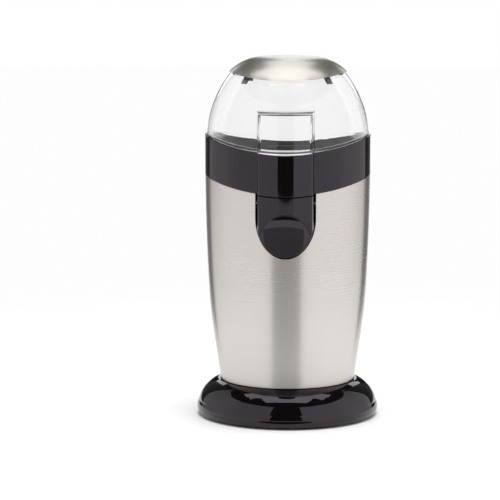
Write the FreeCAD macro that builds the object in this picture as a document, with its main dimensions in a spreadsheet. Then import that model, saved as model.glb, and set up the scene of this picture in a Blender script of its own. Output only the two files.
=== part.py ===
# Electric grinder with a clear domed lid, a brushed sleeve and a front push button.
# Millimetres. Origin on the floor at the centre of the body, +Z up, the button faces -Y.
import FreeCAD, Part
import os
import re
import Sketcher

PARTS_FOLDER = "parts"
Vector = FreeCAD.Vector

# Driving dimensions
SIZES = (
    # Foot
    ("foot_r", 51.6), ("foot_wide_z", 4.5), ("foot_edge_r", 50.5), ("foot_edge_z", 1.2),
    ("foot_shoulder_r", 50.7), ("foot_shoulder_z", 8.2), ("foot_bend_r", 48.9), ("foot_bend_z", 12.9),
    ("foot_slope_r", 45.9), ("foot_slope_z", 16.6), ("foot_crest_r", 43.0), ("foot_crest_z", 18.9),
    ("foot_top_r", 39.6), ("foot_top_z", 20.6),
    ("foot_wall", 2.2), ("foot_slope_wall", 3.0), ("foot_ceiling", 1.8),
    ("neck_r", 37.2), ("neck_wall", 2.3), ("neck_top_z", 28.0),
    # Floor plate and what is fixed to it
    ("plate_r", 47.4), ("plate_z", 1.6), ("plate_wall", 2.2), ("plate_screw_r", 38.0),
    ("boss_r", 3.4), ("boss_top_z", 17.5), ("tapping_r", 1.5), ("tapping_head_r", 3.2),
    ("tapping_head", 1.0), ("tapping_end_z", 12.0), ("recess_r", 3.5), ("recess_depth", 1.2),
    ("pad_ring_r", 40.0), ("pad_r", 6.0), ("pad_stem_r", 2.0), ("pad_bulb_r", 2.7), ("pad_bulb", 1.0),
    ("vent_width", 2.4), ("vent_length", 30.0), ("vent_pitch", 5.0), ("vent_count", 7),
    # Cord inlet
    ("inlet_z", 10.2), ("inlet_boss_r", 5.2), ("inlet_face_y", 51.6), ("inlet_depth", 10.4),
    ("gland_r", 3.9), ("gland_bore_r", 2.9), ("gland_flange_r", 5.2), ("gland_lip_r", 4.7),
    ("gland_flange", 1.8), ("gland_lip", 1.4), ("relief_r", 4.3), ("relief_end_y", 56.8),
    ("clamp_y", 36.5), ("clamp_depth", 5.0),
    ("clamp_half_width", 11.0), ("clamp_z", 9.0), ("clamp_top_z", 15.6), ("clamp_groove_r", 3.2),
    ("clamp_screw_x", 8.0), ("clamp_screw_r", 1.1), ("post_r", 2.7), ("fit_gap", 0.1),
    # Sleeve
    ("shell_wall", 0.7), ("shell_bottom_z", 21.0), ("shell_bottom_r", 38.2), ("shell_hip_z", 45.0),
    ("shell_hip_r", 41.66), ("shell_flank_z", 60.0), ("shell_flank_r", 43.51),
    ("shell_waist_z", 75.0), ("shell_waist_r", 44.7), ("shell_chest_z", 107.0),
    ("shell_chest_r", 46.05), ("shell_top_z", 141.0), ("shell_top_r", 46.65), ("shell_over", 6.0),
    # Collar with its nose
    ("band_r", 46.8), ("band_low_z", 137.9), ("band_high_z", 160.5), ("saddle_drop", 8.1),
    ("saddle_reach", 60.0), ("band_wall", 2.35), ("seam", 0.2), ("skirt_r", 45.55), ("skirt_wall", 2.05),
    ("skirt_z", 125.0), ("collar_lip_r", 41.5), ("collar_lip_z", 147.6), ("collar_lip", 1.6),
    ("nose_y", 56.8), ("nose_half", 14.9), ("nose_corner_y", 51.7), ("nose_root_half", 15.8),
    ("nose_root_y", 44.0), ("nose_back_y", 36.0), ("nose_wall", 2.2), ("nose_round", 2.0),
    ("edge_round", 0.5),
    # Dome and cap
    ("dome_r", 45.8), ("dome_arc_r", 60.0), ("dome_centre_z", 156.8), ("dome_wall", 2.2),
    ("cap_rim_x", 32.9), ("cap_rim_z", 195.7), ("cap_front_z", 191.6), ("cap_rim_drop", 8.1), ("cap_edge_x", 12.5),
    ("cap_edge_r", 29.5), ("cap_crown_r", 180.0), ("flank_top_z", 206.0),
    ("cap_wall", 0.8), ("cap_gap", 0.2), ("column_top_z", 176.0), ("column_wall", 2.0),
    ("column_floor", 1.6), ("lip_proud", 0.2), ("lip_height", 0.9), ("lid_gap", 0.35),
    ("spigot_r", 44.1), ("spigot_wall", 2.0), ("spigot_z", 149.6), ("spigot_up", 1.2),
    ("tongue_half", 3.0), ("tongue_near_y", 50.2), ("tongue_far_y", 53.2), ("tongue_z", 147.0),
    ("slot_gap", 0.5), ("retainer_z", 188.9), ("retainer_half", 1.6), ("retainer_top_z", 194.0),
    ("retainer_ring_r", 28.0), ("retainer_wall", 1.2), ("retainer_line_z", 191.2), ("retainer_drop", 6.2),
    ("retainer_line", 0.6),
    # Button
    ("button_half", 15.8), ("button_bow_z", 116.9), ("button_low_z", 95.4), ("button_high_z", 150.0),
    ("button_gap", 0.9), ("button_wall", 2.0), ("button_back_y", 43.6), ("button_top_gap", 0.5),
    ("scoop_axis_y", 93.0), ("scoop_start_y", 57.6), ("scoop_start_z", 121.0), ("scoop_deep_y", 49.4),
    ("scoop_deep_z", 107.6), ("scoop_end_y", 47.6), ("scoop_end_z", 92.0), ("scoop_round", 1.2),
    ("rim_round", 0.6),
    ("pin_y", 40.6), ("pin_z", 125.6), ("pin_r", 1.2), ("pin_half", 18.4), ("pin_clearance", 0.05),
    ("ear_r", 2.4), ("bezel_wall", 2.2), ("bezel_back_y", 38.6), ("stem_r", 2.6), ("stem_z", 107.5),
    ("stem_y", 39.55), ("spring_r", 1.8), ("spring_in_r", 1.25), ("spring_wire_r", 0.25),
    ("spring_length", 3.0), ("spring_x", 13.6), ("spring_leg", 9.0), ("pin_inner", 10.4),
    # Bowl and its carrier
    ("bowl_r", 37.0), ("bowl_wall", 0.8), ("bowl_z", 116.0), ("bowl_corner", 9.0), ("bowl_top_z", 147.4),
    ("bowl_flange_r", 43.0), ("bowl_hole_r", 5.2), ("gasket_r", 40.0), ("gasket_wall", 1.2),
    ("carrier_r", 40.2), ("carrier_wall", 1.8), ("carrier_z", 110.8), ("carrier_floor", 2.4),
    ("carrier_flange", 2.0), ("carrier_flange_r", 43.2), ("carrier_hole_r", 11.4),
    ("carrier_boss_r", 4.5), ("carrier_boss_top_z", 115.4),
    # Inner housing
    ("housing_r", 36.9), ("housing_wall", 2.0), ("housing_plug_r", 34.7), ("housing_plug_wall", 2.1),
    ("housing_plug_z", 20.5), ("housing_step_z", 31.0), ("ledge_z", 33.6), ("ledge", 2.0),
    ("ledge_r", 31.2), ("window_half", 19.0), ("window_z", 90.0),
    # Motor
    ("shaft_r", 3.0), ("shaft_low_z", 31.0), ("spindle_r", 2.4), ("spindle_z", 119.0),
    ("spindle_top_z", 127.6), ("bolt_x", 21.0), ("bolt_y", 18.0), ("bolt_r", 2.0), ("bolt_head_r", 3.2),
    ("bolt_head", 2.4), ("bolt_end_z", 115.0), ("leg_r", 3.6), ("bracket_r", 33.0), ("bracket", 2.0),
    ("hub_r", 9.0), ("hub_low_z", 33.6), ("hub_top_z", 41.0), ("sleeve_r", 6.5), ("sleeve_low_z", 34.4),
    ("sleeve_top_z", 40.4), ("upper_bracket_z", 98.0), ("upper_bracket_r", 29.6), ("upper_hub_r", 10.6),
    ("upper_hub_z", 97.0), ("upper_hub_top_z", 106.4), ("race_r", 8.2), ("race_z", 99.4),
    ("race_top_z", 105.4), ("stack_z", 58.0), ("stack_top_z", 82.0), ("stack_half_x", 28.0),
    ("stack_half_y", 25.0), ("stack_r", 33.6), ("stack_bore_r", 16.3), ("slot_r", 21.4),
    ("coil_in_r", 16.7), ("coil_out_r", 21.0), ("coil_rise", 6.0), ("coil_clear", 0.3),
    ("armature_r", 15.6), ("winding_r", 14.4), ("winding_in_r", 5.0), ("winding_rise", 6.2),
    ("commutator_r", 9.0), ("commutator_z", 42.6), ("commutator_top_z", 50.6), ("fan_r", 23.2),
    ("fan_z", 89.6), ("fan_disc", 1.2), ("fan_top_z", 95.6), ("fan_hub_r", 6.2), ("fan_blade", 1.2),
    ("fan_count", 9), ("brush_z", 46.6), ("brush_half", 2.5), ("brush_gap", 0.15), ("brush_end_x", 16.0),
    ("holder_x", 10.4), ("holder_end_x", 24.0), ("holder_half", 4.2), ("holder_top_z", 50.2),
    ("holder_wall", 1.2), ("capacitor_half", 8.0), ("capacitor_y", 12.0), ("capacitor_depth", 8.0),
    ("capacitor_top_z", 49.0), ("cutout_y", 15.5), ("cutout_r", 4.0), ("cutout_top_z", 43.4),
    ("terminal_y", 22.6), ("terminal_depth", 7.0), ("terminal_top_z", 46.0), ("lead_r", 1.1),
    ("lead_x", 2.6), ("lead_y", 26.0), ("lead_bend", 6.0), ("lead_start_y", 33.4), ("lead_hole_r", 1.8),
    # Blade
    ("seal_z", 113.6), ("seal_top_z", 118.4), ("seal_gap", 0.1), ("spacer_r", 5.0), ("spacer_z", 119.0),
    ("blade_z", 121.2), ("blade_wall", 1.5), ("blade_reach", 29.0), ("blade_flat", 13.0),
    ("blade_rise", 5.4), ("blade_half", 6.4), ("blade_tip_half", 4.2), ("nut_r", 4.9), ("nut_height", 3.2),
    ("nut_dome_r", 3.9),
    # Switch
    ("switch_half", 10.0), ("switch_front_y", 37.0), ("switch_back_y", 31.0), ("switch_z", 100.8),
    ("switch_top_z", 110.2), ("plunger_r", 1.2), ("plunger_tip_y", 39.4), ("plunger_end_y", 35.5),
    ("plunger_bore_r", 1.3), ("plunger_bore_y", 32.2), ("switch_bracket", 1.2),
    ("switch_bracket_y", 22.0), ("switch_screw_x", 7.4), ("switch_screw_z", 103.4),
    ("switch_screw_r", 0.9), ("switch_screw_head_r", 1.7), ("switch_screw_head", 0.8),
    # Lid interlock
    ("lock_y", 51.7), ("lock_half_x", 3.6), ("lock_half_y", 1.7), ("lock_z", 140.0), ("lock_top_z", 146.9),
    ("lock_shelf_z", 132.0), ("lock_shelf", 1.4), ("lock_spring_r", 1.9), ("lock_spring_in_r", 1.3),
)

doc = FreeCAD.newDocument("grinder")
sheet = doc.addObject("Spreadsheet::Sheet", "Sizes")
for row, (alias, number) in enumerate(SIZES, start=1):
    sheet.set("A%d" % row, alias.replace("_", " "))
    sheet.set("B%d" % row, str(number))
    sheet.setAlias("B%d" % row, alias)
doc.recompute()
ALIASES = {alias for alias, number in SIZES}
nodes = []


def qualified(formula):
    """The formula with each named size pointed at the sheet."""
    return re.sub(r"[a-z][a-z_]*", lambda m: "Sizes." + m[0] if m[0] in ALIASES else m[0], formula)


def value(formula):
    return float(sheet.evalExpression(qualified(formula)))


def bind(target, **formulas):
    """Tie properties of an object to formulas over the sheet."""
    for prop, formula in formulas.items():
        target.setExpression(prop.replace("__", "."), qualified(formula))


def node(label, source):
    """Keep this object as the sub-part with this name."""
    source.Label = label
    nodes.append(source)
    return source


def new_body(name):
    body = doc.addObject("PartDesign::Body", name)
    body.AllowCompound = True
    return body


def origin_plane(body, role):
    return next(f for f in body.Origin.OriginFeatures if f.Role == role)


# Sketches

def pin_down(sketch, geometry, end, tag, x, y):
    """Fix a point of the sketch at formulas x and y."""
    for axis, other, formula in (("X", -2, x), ("Y", -1, y)):
        if formula == "0":
            sketch.addConstraint(Sketcher.Constraint("PointOnObject", geometry, end, other))
            continue
        kind = "Distance" + axis
        index = sketch.addConstraint(
            Sketcher.Constraint(kind, -1, 1, geometry, end, value(formula)))
        name = axis.lower() + tag
        sketch.renameConstraint(index, name)
        sketch.setExpression("Constraints." + name, qualified(formula))


def add_circle(sketch, tag, x, y, radius):
    centre = Vector(value(x), value(y), 0)
    circle = sketch.addGeometry(Part.Circle(centre, Vector(0, 0, 1), value(radius)), False)
    pin_down(sketch, circle, 3, tag, x, y)
    index = sketch.addConstraint(Sketcher.Constraint("Radius", circle, value(radius)))
    sketch.renameConstraint(index, "r" + tag)
    sketch.setExpression("Constraints.r" + tag, qualified(radius))


def add_outline(sketch, tag, corners):
    """A closed outline. A corner may add the point that the arc leaving it passes through."""
    places = [Vector(value(c[0]), value(c[1]), 0) for c in corners]
    ends = []
    for i, corner in enumerate(corners):
        here, there = places[i], places[(i + 1) % len(corners)]
        if len(corner) == 2:
            line = sketch.addGeometry(Part.LineSegment(here, there), False)
            ends.append((line, 1, 2))
            continue
        middle = Vector(value(corner[2]), value(corner[3]), 0)
        turns_left = (middle - here).cross(there - middle).z > 0
        first, last = (here, there) if turns_left else (there, here)
        arc = sketch.addGeometry(Part.Arc(first, middle, last), False)
        ends.append((arc, 1, 2) if turns_left else (arc, 2, 1))
    for i, (geometry, start, end) in enumerate(ends):
        after, after_start, after_end = ends[(i + 1) % len(ends)]
        sketch.addConstraint(Sketcher.Constraint("Coincident", geometry, end, after, after_start))
    for i, corner in enumerate(corners):
        geometry, start, end = ends[i]
        pin_down(sketch, geometry, start, "%s_%d" % (tag, i), corner[0], corner[1])
        if len(corner) == 4:
            middle = Vector(value(corner[2]), value(corner[3]), 0)
            point = sketch.addGeometry(Part.Point(middle), True)
            pin_down(sketch, point, 1, "%s_%d_mid" % (tag, i), corner[2], corner[3])
            sketch.addConstraint(Sketcher.Constraint("PointOnObject", point, 1, geometry))


def new_sketch(body, name, plane, outlines, offset="0"):
    """A sketch on one of the body's origin planes, moved along the plane's normal."""
    sketch = body.newObject("Sketcher::SketchObject", name)
    sketch.AttachmentSupport = [(origin_plane(body, plane), "")]
    sketch.MapMode = "FlatFace"
    if offset != "0":
        sketch.AttachmentOffset = FreeCAD.Placement(Vector(0, 0, value(offset)), FreeCAD.Rotation())
        bind(sketch, AttachmentOffset__Base__z=offset)
    for i, outline in enumerate(outlines):
        if outline[0] == "circle":
            add_circle(sketch, "c%d" % i, *outline[1:])
        else:
            add_outline(sketch, "o%d" % i, outline)
    return sketch


def rectangle(x0, y0, x1, y1):
    return [(x0, y0), (x1, y0), (x1, y1), (x0, y1)]


def ring(inner, outer, low, high):
    """The section of a ring, for turning about the upright axis."""
    return rectangle(inner, low, outer, high)


# Features

def turn(body, name, outline, cut=False):
    """Turn a section about the upright axis, adding or cutting."""
    profile = new_sketch(body, name + "_section", "XZ_Plane", [outline])
    kind = "PartDesign::Groove" if cut else "PartDesign::Revolution"
    feature = body.newObject(kind, name)
    feature.Profile = profile
    feature.ReferenceAxis = (profile, ["V_Axis"])
    feature.Angle = 360
    return feature


def pad(body, name, outlines, low, high, plane="XY_Plane"):
    """Raise outlines from one level to another along the plane's normal."""
    profile = new_sketch(body, name + "_outline", plane, outlines, low)
    feature = body.newObject("PartDesign::Pad", name)
    feature.Profile = profile
    feature.Length = value("(%s) - (%s)" % (high, low))
    bind(feature, Length="(%s) - (%s)" % (high, low))
    return feature


def pocket(body, name, outlines, low, high, plane="XY_Plane"):
    """Cut outlines away between two levels along the plane's normal."""
    doc.recompute()
    before = body.Shape.Volume
    profile = new_sketch(body, name + "_outline", plane, outlines, high)
    feature = body.newObject("PartDesign::Pocket", name)
    feature.Profile = profile
    feature.Length = value("(%s) - (%s)" % (high, low))
    bind(feature, Length="(%s) - (%s)" % (high, low))
    doc.recompute()
    if body.Shape.Volume > before - 1e-6:
        raise ValueError(name + " cuts nothing")
    return feature


def around(body, name, features, count):
    """Repeat features about the upright axis."""
    doc.recompute()
    pattern = body.newObject("PartDesign::PolarPattern", name)
    pattern.Originals = features
    pattern.Axis = (features[0].Profile[0], ["N_Axis"])
    pattern.Angle = 360
    pattern.Occurrences = int(value(count))
    bind(pattern, Occurrences=count)
    body.Tip = pattern
    return pattern


def cut(name, base, *tools):
    """The base with every tool taken away."""
    result = base
    for i, tool in enumerate(tools):
        step = doc.addObject("Part::Cut", name if i == len(tools) - 1 else "%s_cut%d" % (name, i))
        step.Base = result
        step.Tool = tool
        step.Refine = True
        result = step
    return result


def fuse(name, *shapes):
    joined = doc.addObject("Part::MultiFuse", name)
    joined.Shapes = list(shapes)
    joined.Refine = True
    return joined


def common(name, *shapes):
    shared = doc.addObject("Part::MultiCommon", name)
    shared.Shapes = list(shapes)
    shared.Refine = True
    return shared


def box(name, x0, y0, z0, x1, y1, z1):
    """A block between two corners."""
    block = doc.addObject("Part::Box", name)
    bind(block, Length="(%s) - (%s)" % (x1, x0), Width="(%s) - (%s)" % (y1, y0),
         Height="(%s) - (%s)" % (z1, z0), Placement__Base__x=x0, Placement__Base__y=y0,
         Placement__Base__z=z0)
    return block


def rod(name, radius, length, x, y, z, axis=Vector(0, 0, 1)):
    """A round bar from a point along an axis."""
    bar = doc.addObject("Part::Cylinder", name)
    bar.Placement = FreeCAD.Placement(Vector(), FreeCAD.Rotation(Vector(0, 0, 1), axis))
    bind(bar, Radius=radius, Height=length, Placement__Base__x=x, Placement__Base__y=y,
         Placement__Base__z=z)
    return bar


ALONG_X = Vector(1, 0, 0)
ALONG_Y = Vector(0, 1, 0)


def rounded(name, source, radius, chosen):
    """Round the edges that the test picks."""
    doc.recompute()
    picked = [i for i, edge in enumerate(source.Shape.Edges, start=1) if chosen(edge)]
    if not picked:
        raise ValueError(name + " finds no edge to round")
    result = doc.addObject("Part::Fillet", name)
    result.Base = source
    size = value(radius)
    result.Edges = [(i, size, size) for i in picked]
    doc.recompute()
    if result.Shape.isNull() or not result.Shape.isValid():
        raise ValueError(name + " can't be rounded")
    return result


# Shared forms

def saddle_slab(name, low, low_drop, high, high_drop):
    """Everything between two saddles: curves in the front view, carried through from front to back."""
    body = new_body(name)

    def saddle(side_z, drop):
        middle = "%s - %s" % (side_z, drop)
        end = "%s - %s + %s * (saddle_reach / band_r) ^ 2" % (side_z, drop, drop)
        return middle, end

    low_middle, low_end = saddle(low, low_drop)
    high_middle, high_end = saddle(high, high_drop)
    profile = new_sketch(body, name + "_outline", "XZ_Plane", [[
        ("-saddle_reach", low_end, "0", low_middle),
        ("saddle_reach", low_end),
        ("saddle_reach", high_end, "0", high_middle),
        ("-saddle_reach", high_end)]])
    feature = body.newObject("PartDesign::Pad", name + "_pad")
    feature.Profile = profile
    feature.SideType = "Symmetric"
    bind(feature, Length="4 * saddle_reach")
    return body


def nose_section(inset):
    """The plan of the nose, drawn in from its faces by the inset."""
    half = "nose_half - (%s)" % inset
    root = "nose_root_half - (%s)" % inset
    corner = "-(nose_corner_y - (%s) / 2)" % inset
    front = "-(nose_y - (%s))" % inset
    return [("-(%s)" % root, "-nose_back_y"), ("-(%s)" % root, "-nose_root_y"),
            ("-(%s)" % half, corner, "0", front), (half, corner), (root, "-nose_root_y"),
            (root, "-nose_back_y")]


def nose_prism(name, low, high, inset="0", corner_round=True):
    body = new_body(name)
    pad(body, name + "_pad", [nose_section(inset)], low, high)
    if corner_round:
        doc.recompute()
        edge_x = value("nose_half - (%s)" % inset)
        edges = ["Edge%d" % i for i, e in enumerate(body.Shape.Edges, start=1)
                 if abs(abs(e.CenterOfMass.x) - edge_x) < 0.01 and e.BoundBox.ZLength > 1]
        square = body.Tip
        corner = body.newObject("PartDesign::Fillet", name + "_corners")
        corner.Base = (square, edges)
        bind(corner, Radius="nose_round")
    return body


def paddle_prism(name, inset):
    """The outline of the button in the front view, drawn in by the inset and carried through."""
    oval = doc.addObject("Part::Ellipse", name + "_oval")
    oval.Placement = FreeCAD.Placement(Vector(), FreeCAD.Rotation(Vector(1, 1, 1), -120))
    bind(oval, MajorRadius="button_bow_z - button_low_z - (%s)" % inset,
         MinorRadius="button_half - (%s)" % inset, Placement__Base__y="-nose_back_y + 8",
         Placement__Base__z="button_bow_z")
    lower = doc.addObject("Part::Extrusion", name + "_lower")
    lower.Base = oval
    lower.DirMode = "Custom"
    lower.Dir = Vector(0, -1, 0)
    lower.Solid = True
    bind(lower, LengthFwd="saddle_reach - nose_back_y + 8")
    upper = box(name + "_upper", "-(button_half - (%s))" % inset, "-saddle_reach", "button_bow_z",
                "button_half - (%s)" % inset, "-nose_back_y + 8", "button_high_z")
    return fuse(name, lower, upper)


# The dome's flank is one arc. The cap's line is an edge arc and a tangent crown arc.
FLANK_X = "(dome_r - dome_arc_r)"
FLANK_SIN = "((flank_top_z - dome_centre_z) / dome_arc_r)"
EDGE_Z = "(cap_rim_z - sqrt(cap_edge_r ^ 2 - (cap_rim_x - cap_edge_x) ^ 2))"
CROWN_Z = "(%s - sqrt((cap_crown_r - cap_edge_r) ^ 2 - cap_edge_x ^ 2))" % EDGE_Z
CROWN_SIN = "(cap_edge_x / (cap_crown_r - cap_edge_r))"


def on_arc(centre_x, centre_z, radius, sin):
    """The point of an arc at the height given by the sine of its angle."""
    return "%s + %s * sqrt(1 - (%s) ^ 2)" % (centre_x, radius, sin), "%s + %s * (%s)" % (centre_z, radius, sin)


def flank_form(name, inset, low):
    """The body of the dome under its flank, drawn in by the inset."""
    radius = "(dome_arc_r - (%s))" % inset
    body = new_body(name)
    top = on_arc(FLANK_X, "dome_centre_z", radius, FLANK_SIN)
    turn(body, name + "_turn", [
        ("0", low), ("dome_r - (%s)" % inset, low),
        ("dome_r - (%s)" % inset, "dome_centre_z")
        + on_arc(FLANK_X, "dome_centre_z", radius, FLANK_SIN + " / 2"),
        top, ("0", top[1])])
    return body


def cap_form(name, inset, low):
    """The body under the cap's line, drawn in by the inset, above a wide skirt."""
    edge_r = "(cap_edge_r - (%s))" % inset
    crown_r = "(cap_crown_r - (%s))" % inset
    half = CROWN_SIN + " / 2"
    start, middle = (("%s * %s" % (crown_r, sin), "%s + %s * sqrt(1 - (%s) ^ 2)" % (CROWN_Z, crown_r, sin))
                     for sin in (CROWN_SIN, half))
    join = on_arc("cap_edge_x", EDGE_Z, edge_r, "0.4")
    body = new_body(name)
    turn(body, name + "_turn", [
        ("0", low), ("dome_r + 1", low), ("dome_r + 1", join[1]),
        join + on_arc("cap_edge_x", EDGE_Z, edge_r, "0.8"),
        start + middle, ("0", "%s + %s" % (CROWN_Z, crown_r))])
    return body


def cap_zone(name, lower):
    """Everything above the cap's saddle-shaped rim, moved down by the given amount."""
    return saddle_slab(name, "cap_front_z + cap_rim_drop - (%s)" % lower, "cap_rim_drop", "2 * cap_rim_z",
                       "cap_rim_drop")


# Foot and floor plate

def base_foot():
    body = new_body("base_foot")
    turn(body, "foot_flare", [
        ("foot_edge_r", "foot_edge_z", "foot_r", "foot_wide_z"),
        ("foot_shoulder_r", "foot_shoulder_z", "foot_bend_r", "foot_bend_z"),
        ("foot_slope_r", "foot_slope_z", "foot_crest_r", "foot_crest_z"),
        ("foot_top_r", "foot_top_z"),
        ("neck_r", "foot_top_z"),
        ("neck_r", "neck_top_z"),
        ("neck_r - neck_wall", "neck_top_z"),
        ("neck_r - neck_wall", "foot_top_z - foot_ceiling"),
        ("foot_top_r - foot_wall / 2", "foot_top_z - foot_ceiling"),
        ("foot_slope_r - foot_slope_wall", "foot_slope_z", "foot_bend_r - foot_slope_wall", "foot_bend_z"),
        ("foot_shoulder_r - foot_wall", "foot_shoulder_z"),
        ("foot_edge_r - foot_wall", "foot_edge_z")])
    at_x = "plate_screw_r * cos(45)"
    boss = pad(body, "foot_boss", [("circle", at_x, at_x, "boss_r")], "plate_z + plate_wall", "boss_top_z")
    around(body, "foot_bosses", [boss], "4")
    hole = pocket(body, "foot_boss_hole", [("circle", at_x, at_x, "tapping_r")], "plate_z", "tapping_end_z")
    around(body, "foot_boss_holes", [hole], "4")
    pad(body, "inlet_boss", [("circle", "0", "inlet_z", "inlet_boss_r")], "-inlet_face_y",
        "inlet_depth - inlet_face_y", "XZ_Plane")
    pocket(body, "inlet_hole", [("circle", "0", "inlet_z", "gland_r + fit_gap")], "-foot_r - gland_r",
           "-clamp_y", "XZ_Plane")
    node("base_foot", body)


def base_plate():
    body = new_body("base_plate")
    top = "plate_z + plate_wall"
    pad(body, "plate_disc", [("circle", "0", "0", "plate_r")], "plate_z", top)
    posts = [("circle", side + "clamp_screw_x", "clamp_y", "post_r") for side in ("", "-")]
    pad(body, "clamp_posts", posts, top, "clamp_z")
    bores = [("circle", side + "clamp_screw_x", "clamp_y", "clamp_screw_r") for side in ("", "-")]
    pocket(body, "clamp_post_bores", bores, top, "clamp_z")
    at_x = "plate_screw_r * cos(45)"
    hole = pocket(body, "screw_hole", [("circle", at_x, at_x, "tapping_r + fit_gap")], "plate_z", top)
    around(body, "screw_holes", [hole], "4")
    sink = pocket(body, "screw_recess", [("circle", at_x, at_x, "recess_r")], "plate_z",
                  "plate_z + recess_depth")
    around(body, "screw_recesses", [sink], "4")
    stem = pocket(body, "pad_hole", [("circle", "pad_ring_r", "0", "pad_stem_r")], "plate_z", top)
    around(body, "pad_holes", [stem], "4")
    first = "-vent_pitch * (vent_count - 1) / 2"
    slot = pocket(body, "vent", [rectangle(first + " - vent_width / 2", "-vent_length / 2",
                                           first + " + vent_width / 2", "vent_length / 2")], "plate_z", top)
    row_of = body.newObject("PartDesign::LinearPattern", "vents")
    row_of.Originals = [slot]
    row_of.Direction = (slot.Profile[0], ["H_Axis"])
    row_of.Occurrences = int(value("vent_count"))
    bind(row_of, Length="vent_pitch * (vent_count - 1)", Occurrences="vent_count")
    body.Tip = row_of
    node("base_plate", body)


def rubber_feet():
    body = new_body("rubber_feet")
    top = "plate_z + plate_wall"
    disc = pad(body, "pad_disc", [("circle", "pad_ring_r", "0", "pad_r")], "0", "plate_z")
    stem = pad(body, "pad_stem", [("circle", "pad_ring_r", "0", "pad_stem_r")], "plate_z", top)
    bulb = pad(body, "pad_bulb", [("circle", "pad_ring_r", "0", "pad_bulb_r")], top, top + " + pad_bulb")
    around(body, "pads", [disc, stem, bulb], "4")
    node("rubber_feet", body)


def base_screws():
    body = new_body("base_screws")
    at_x = "plate_screw_r * cos(45)"
    seat = "plate_z + recess_depth"
    shank = pad(body, "tapping_shank", [("circle", at_x, at_x, "tapping_r")], seat, "tapping_end_z - fit_gap")
    head = pad(body, "tapping_head", [("circle", at_x, at_x, "tapping_head_r")], seat + " - tapping_head", seat)
    around(body, "tapping_screws", [shank, head], "4")
    node("base_screws", body)


def cord_gland():
    wall_y = "inlet_face_y - inlet_depth"
    sleeve = rod("gland_sleeve", "gland_r", "inlet_depth + gland_lip", "0", wall_y + " - gland_lip", "inlet_z",
                 ALONG_Y)
    lip = rod("gland_lip", "gland_lip_r", "gland_lip", "0", wall_y + " - gland_lip", "inlet_z", ALONG_Y)
    flange = rod("gland_flange", "gland_flange_r", "gland_flange", "0", "inlet_face_y", "inlet_z", ALONG_Y)
    relief = rod("gland_relief", "relief_r", "relief_end_y - inlet_face_y", "0", "inlet_face_y", "inlet_z",
                 ALONG_Y)
    bore = rod("gland_bore", "gland_bore_r", "foot_r", "0", "clamp_y", "inlet_z", ALONG_Y)
    solid = cut("gland_cut", fuse("gland_solid", sleeve, lip, flange, relief), bore)
    outer_y = value("relief_end_y")
    node("cord_gland", rounded("cord_gland", solid, "fit_gap * 6",
                               lambda e: e.BoundBox.YLength < 0.01 and e.CenterOfMass.y > outer_y - 0.01))


def cord_clamp():
    low_y, high_y = "clamp_y - clamp_depth / 2", "clamp_y + clamp_depth / 2"
    block = box("clamp_block", "-clamp_half_width", low_y, "clamp_z", "clamp_half_width", high_y, "clamp_top_z")
    groove = rod("clamp_groove", "clamp_groove_r", "2 * clamp_depth", "0", "clamp_y - clamp_depth", "inlet_z",
                 ALONG_Y)
    holes = [rod("clamp_hole_%s" % word, "clamp_screw_r", "2 * clamp_top_z", sign + "clamp_screw_x",
                 "clamp_y", "0") for word, sign in (("right", ""), ("left", "-"))]
    node("cord_clamp", cut("cord_clamp", block, groove, *holes))


def clamp_screws():
    body = new_body("clamp_screws")
    sides = ("", "-")
    pad(body, "clamp_shanks", [("circle", s + "clamp_screw_x", "clamp_y", "clamp_screw_r") for s in sides],
        "plate_z + plate_wall + fit_gap", "clamp_top_z")
    pad(body, "clamp_heads", [("circle", s + "clamp_screw_x", "clamp_y", "2 * clamp_screw_r") for s in sides],
        "clamp_top_z", "clamp_top_z + clamp_screw_r")
    node("clamp_screws", body)


# Sleeve and collar

def shell_line(shift):
    """The outer line of the sleeve from its foot to its top, moved inwards."""
    def r(name):
        return "%s - (%s)" % (name, shift)

    return [(r("shell_bottom_r"), "shell_bottom_z"),
            (r("shell_hip_r"), "shell_hip_z", r("shell_flank_r"), "shell_flank_z"),
            (r("shell_waist_r"), "shell_waist_z", r("shell_chest_r"), "shell_chest_z"),
            (r("shell_top_r"), "shell_top_z"),
            (r("shell_top_r"), "shell_top_z + shell_over")]


def backwards(line):
    """The same line walked from its other end, its arcs kept."""
    corners = [corner[:2] for corner in reversed(line)]
    arcs = [corner[2:] for corner in reversed(line[:-1])]
    return [c + a for c, a in zip(corners, arcs)] + [corners[-1]]


def outer_shell(paddle_hole):
    body = new_body("shell_sheet")
    turn(body, "shell_turn", shell_line("0") + backwards(shell_line("shell_wall")))
    below = saddle_slab("below_collar", "0", "saddle_drop", "band_low_z - seam", "saddle_drop")
    trimmed = common("shell_trimmed", body, below)
    node("outer_shell", cut("outer_shell", trimmed, paddle_hole))


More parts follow.
